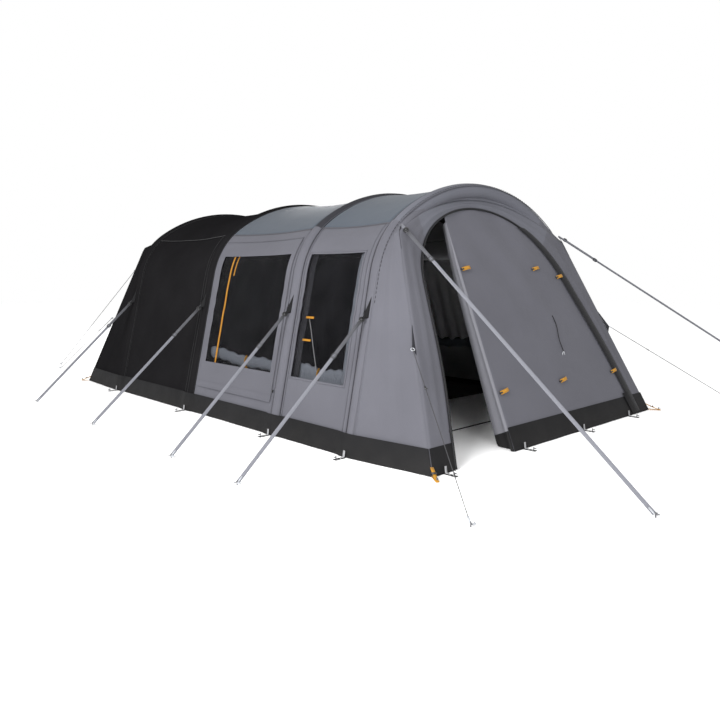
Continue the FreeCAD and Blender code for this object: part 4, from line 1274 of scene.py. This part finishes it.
def guy(label, anchor, peg):
    """A thin guy line with its runner and hook."""
    anchor, end, along, level, up = strap_axes(anchor, peg)
    obj = swept(f"guy_{label}", points_between(anchor, end), circle(GUY_R, 8), CORD, up)
    placed(obj, ROOT, ["guy_lines"])
    at = anchor + along * 0.42
    parts = [swept("runner", [at - along * 0.013, at + along * 0.013], [(x * 1.5, y) for x, y in circle(0.0048, 8)],
                   BUCKLE, up),
             swept("runner_ear", [at + level * 0.004, at + level * 0.014 + along * 0.01], circle(0.0025, 6), BUCKLE,
                   up)]
    runner = placed(joined(f"guy_runner_{label}", parts), ROOT, ["guy_runners"])
    hook = peg_hook(f"guy_hook_{label}", end, along, level, up)
    ring = trim(f"guy_ring_{label}", loop(anchor + along * 0.02, along * 0.016, level * 0.013, 16), circle(0.003, 6),
                CLIP, up)
    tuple(anchor)


for side, label, peg in ((-1, "corner_left", CORNER_PEGS[0]), (1, "corner_right", CORNER_PEGS[1])):
    guy(label, (side * CORNER_ANCHOR[0], *CORNER_ANCHOR[1:]), peg)
for side, label in SIDES.items():
    for height, (anchor, peg) in zip(("high", "low"), REAR_GUYS):
        guy(f"rear_{label}_{height}", (side * anchor[0], *anchor[1:]), (side * peg[0], peg[1]))


def seam_web(label, anchor, low, high):
    """A triangular web from a corner seam out to a guy's ring."""
    obj = surface(f"seam_web_{label}", 8, 4, lambda i, j: Vector(anchor).lerp(low.lerp(high, j / 4), i / 8), TRIM)
    solidify(obj, 0.0016)
    placed(obj)


def seam_point(side, z):
    top = PULLED_SHOULDER_X if side > 0 else SHOULDER_X
    return front_at(side * (FRONT_HALF + (top - FRONT_HALF) * z / SHOULDER_Z), z * FRONT_STRETCH, 0.002)


for side, label in ((-1, "front_left"), (1, "front_right")):
    seam_web(label, (side * CORNER_ANCHOR[0], *CORNER_ANCHOR[1:]), seam_point(side, 0.76), seam_point(side, 0.96))
    anchor = (side * FRONT_ANCHOR[0], *FRONT_ANCHOR[1:])
    seam_web(f"shoulder_{label}", anchor, seam_point(side, 1.5), seam_point(side, 1.63))


def ladder_loops():
    """Peg loops of webbing round the tent's foot: a pale tab and a black ladder with two gaps."""
    places = []
    for side in (-1, 1):
        places += [(vec(side * 1.729, y, 0), vec(side, 0, 0)) for y in BEAM_Y]
    places += [(vec(x, FRONT_Y - 0.008, 0), vec(0, -1, 0)) for x in (-1.5, -0.56, 0.34, 1.18)]
    places += [(vec(x, REAR_Y + 0.008, 0), vec(0, 1, 0)) for x in (-0.56, 0.56)]
    ladders, tabs = [], []
    for place, out in places:
        across = vec(-out.y, out.x, 0)
        for edge in (-0.0125, 0.0125):
            rail = [place + across * edge + out * d + UP * 0.0035 for d in (0.0, 0.03, 0.06, 0.093)]
            ladders.append(swept("rail", rail, flat(0.006, 0.0025), LOOPWEB))
        for d in (0.018, 0.052, 0.09):
            rung = [place + across * e + out * d + UP * 0.0045 for e in (-0.0145, 0.0145)]
            ladders.append(swept("rung", rung, flat(0.011, 0.0025), LOOPWEB))
        lean = out * -0.012
        tab = [place + out * 0.022 + UP * 0.006, place + out * 0.004 + UP * 0.012,
               place + lean + UP * 0.055 + out * 0.01]
        tabs.append(swept("tab", tab, flat(0.022, 0.002), PALEWEB, out))
    placed(joined("ladder_loops", ladders), ROOT, ["peg_loops"])
    placed(joined("ladder_tabs", tabs))


def corner_pulls():
    """The amber pull straps at the four corners, each with a black buckle."""
    straps, buckles = [], []
    for side in (-1, 1):
        for end, half, foot_y in ((-1, FRONT_HALF, FRONT_Y), (1, REAR_HALF, REAR_Y)):
            start = vec(side * (half + 0.012), foot_y + end * 0.014, 0)
            out = vec(side * 0.145, end * 0.221, 0).normalized()
            inward = vec(-side * 0.28, -end * 0.42, 0).normalized()
            line = [start + inward * 0.045 + UP * 0.06, start + inward * 0.012 + UP * 0.044,
                    start + out * 0.03 + UP * 0.026, start + out * 0.065 + UP * 0.012,
                    start + out * 0.094 + UP * 0.006]
            straps.append(swept("pull", line, flat(0.024, 0.005), AMBER, out))
            line = [start + inward * 0.02 + UP * 0.01, start + out * 0.04 + UP * 0.005,
                    start + out * 0.094 + UP * 0.003]
            straps.append(swept("pull_back", line, flat(0.024, 0.003), AMBER, out))
            at = start + out * 0.012 + UP * 0.038
            across = vec(-out.y, out.x, 0)
            for shift in (-0.009, 0.009):
                buckles.append(swept("buckle", [at + out * shift - across * 0.017, at + out * shift + across * 0.017],
                                     circle(0.0045, 8), BUCKLE))
    placed(joined("corner_pull_straps", straps), ROOT, ["peg_loops"])
    placed(joined("corner_pull_buckles", buckles))


ladder_loops()
corner_pulls()


def ground_strap():
    """The black webbing that ties the front beam's feet together across the porch."""
    half = 1.575
    line = points_between(vec(-half, BEAM_Y[0], 0.002), vec(half, BEAM_Y[0], 0.002))
    obj = swept("porch_strap", line, flat(STRAP_W, STRAP_T), LOOPWEB)
    placed(obj, ROOT, ["ground_strap"])
    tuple(line[0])


ground_strap()

# ---------------------------------------------------------------- seams


def seam_tapes():
    """Stitched tapes along the outer cloth: beside each sleeve and along each eave."""
    for bay in range(3):
        mat = PIPING if bay == 2 else SEAM
        y0, y1 = BEAM_Y[bay] + EDGE, BEAM_Y[bay + 1] - EDGE
        for side, label in SIDES.items():
            tag = f"{bay + 1}_{label}"
            trim(f"eave_seam_{tag}", walk(40, lambda u: skin(bay, y0 + (y1 - y0) * u, side * EAVE, 0.0025)),
                 flat(0.011, 0.0015), mat, vec(side, 0, 1))
            for edge, y in (("front", y0 + 0.045), ("rear", y1 - 0.045)):
                if bay != 1 or side > 0:
                    trim(f"wall_seam_{tag}_{edge}",
                         walk(50, lambda u: skin(bay, y, side * (SKIRT_TOP + (EAVE - SKIRT_TOP) * u), 0.0022)),
                         flat(0.006, 0.0012), mat, vec(side, 0, 0.3))


def hood_stitches():
    """The dashed stitch line over the front hood."""
    dashes = []
    for i in range(110):
        line = []
        for k in (i, i + 0.55):
            t = -0.62 + 1.24 * k / 110
            x, s, _, _ = TENT.at(copysign(TENT.length * (1 - abs(t)) or 1e-5, t), 0.012)
            line.append(on_plane(x, s, BEAM_Y[0] - 0.052))
        dashes.append(swept("dash", line, circle(0.0018, 5), PIPING))
    placed(joined("hood_stitches", dashes))


def rear_seams():
    """Piped corner seams and a cross seam on the sloping back."""
    for side, label in SIDES.items():
        line = [end_edge(side * (1 - 0.999 * k / 60), False) for k in range(61)]
        trim(f"rear_corner_piping_{label}", [rear_at(x, z * REAR_STRETCH, 0.004) for x, z in line],
             circle(0.005, 6), PIPING)
    s = 1.2
    half = REAR_HALF - (REAR_HALF - SHOULDER_X) * s / (SHOULDER_Z * REAR_STRETCH) - 0.01
    trim("rear_cross_seam", [rear_at(half * (k / 20 - 1), s, 0.006) for k in range(41)], flat(0.012, 0.002), SEAM,
         vec(0, 1, 0.4))


seam_tapes()
hood_stitches()
rear_seams()

# ---------------------------------------------------------------- design parts that stay as they are


def paint(names, mat):
    for name in names:
        for slot in bpy.data.objects[name].material_slots:
            slot.material = mat


paint([f"air_beam_{i}" for i in range(1, 5)], TUBE)
paint(["link_tubes"], TUBE)
paint(["valve_body", "valve_cap"], VALVE)
paint(["pegs"], STEEL)
paint(["side_zip_slider", "front_zip_slider"], BUCKLE)

# ---------------------------------------------------------------- camera, lights and floor


def studio():
    bpy.ops.mesh.primitive_plane_add(size=60, location=(0, 0, -0.001))
    floor = bpy.context.active_object
    floor.name = "studio_floor"
    floor.data.materials.append(new_material("studio_floor", {"Base Color": (1, 1, 1, 1), "Roughness": 0.9})[0])
    world = bpy.data.worlds.new("studio")
    bpy.context.scene.world = world
    world.use_nodes = True
    background = world.node_tree.nodes["Background"]
    background.inputs["Color"].default_value = (1, 1, 1, 1)
    background.inputs["Strength"].default_value = 1.0
    bpy.context.scene.view_settings.view_transform = "Standard"
    for name, place, target, size, power in (
        ("key", (-8.5, -4.0, 3.6), (0, 0, 0.8), 3.5, 1050),
        ("front", (-4.5, -9.0, 2.6), (0, -1.5, 0.9), 3.0, 190),
        ("back", (6.0, 9.0, 3.2), (0, 1.0, 0.8), 4.0, 500),
    ):
        light = bpy.data.lights.new(name, "AREA")
        light.energy, light.size = power, size
        lamp = bpy.data.objects.new(name, light)
        lamp.location = place
        lamp.rotation_euler = (Vector(target) - Vector(place)).to_track_quat("-Z", "Y").to_euler()
        bpy.context.scene.collection.objects.link(lamp)


def camera():
    data = bpy.data.cameras.new("camera")
    data.lens, data.sensor_width = 33.13, 36.0
    data.shift_y = 0.013
    data.clip_end = 200
    eye = bpy.data.objects.new("camera", data)
    eye.location = (-4.834, -5.563, 1.304)
    eye.rotation_euler = (pi / 2 - 0.1399, 0, -0.7537)
    bpy.context.scene.collection.objects.link(eye)
    bpy.context.scene.camera = eye


studio()
camera()
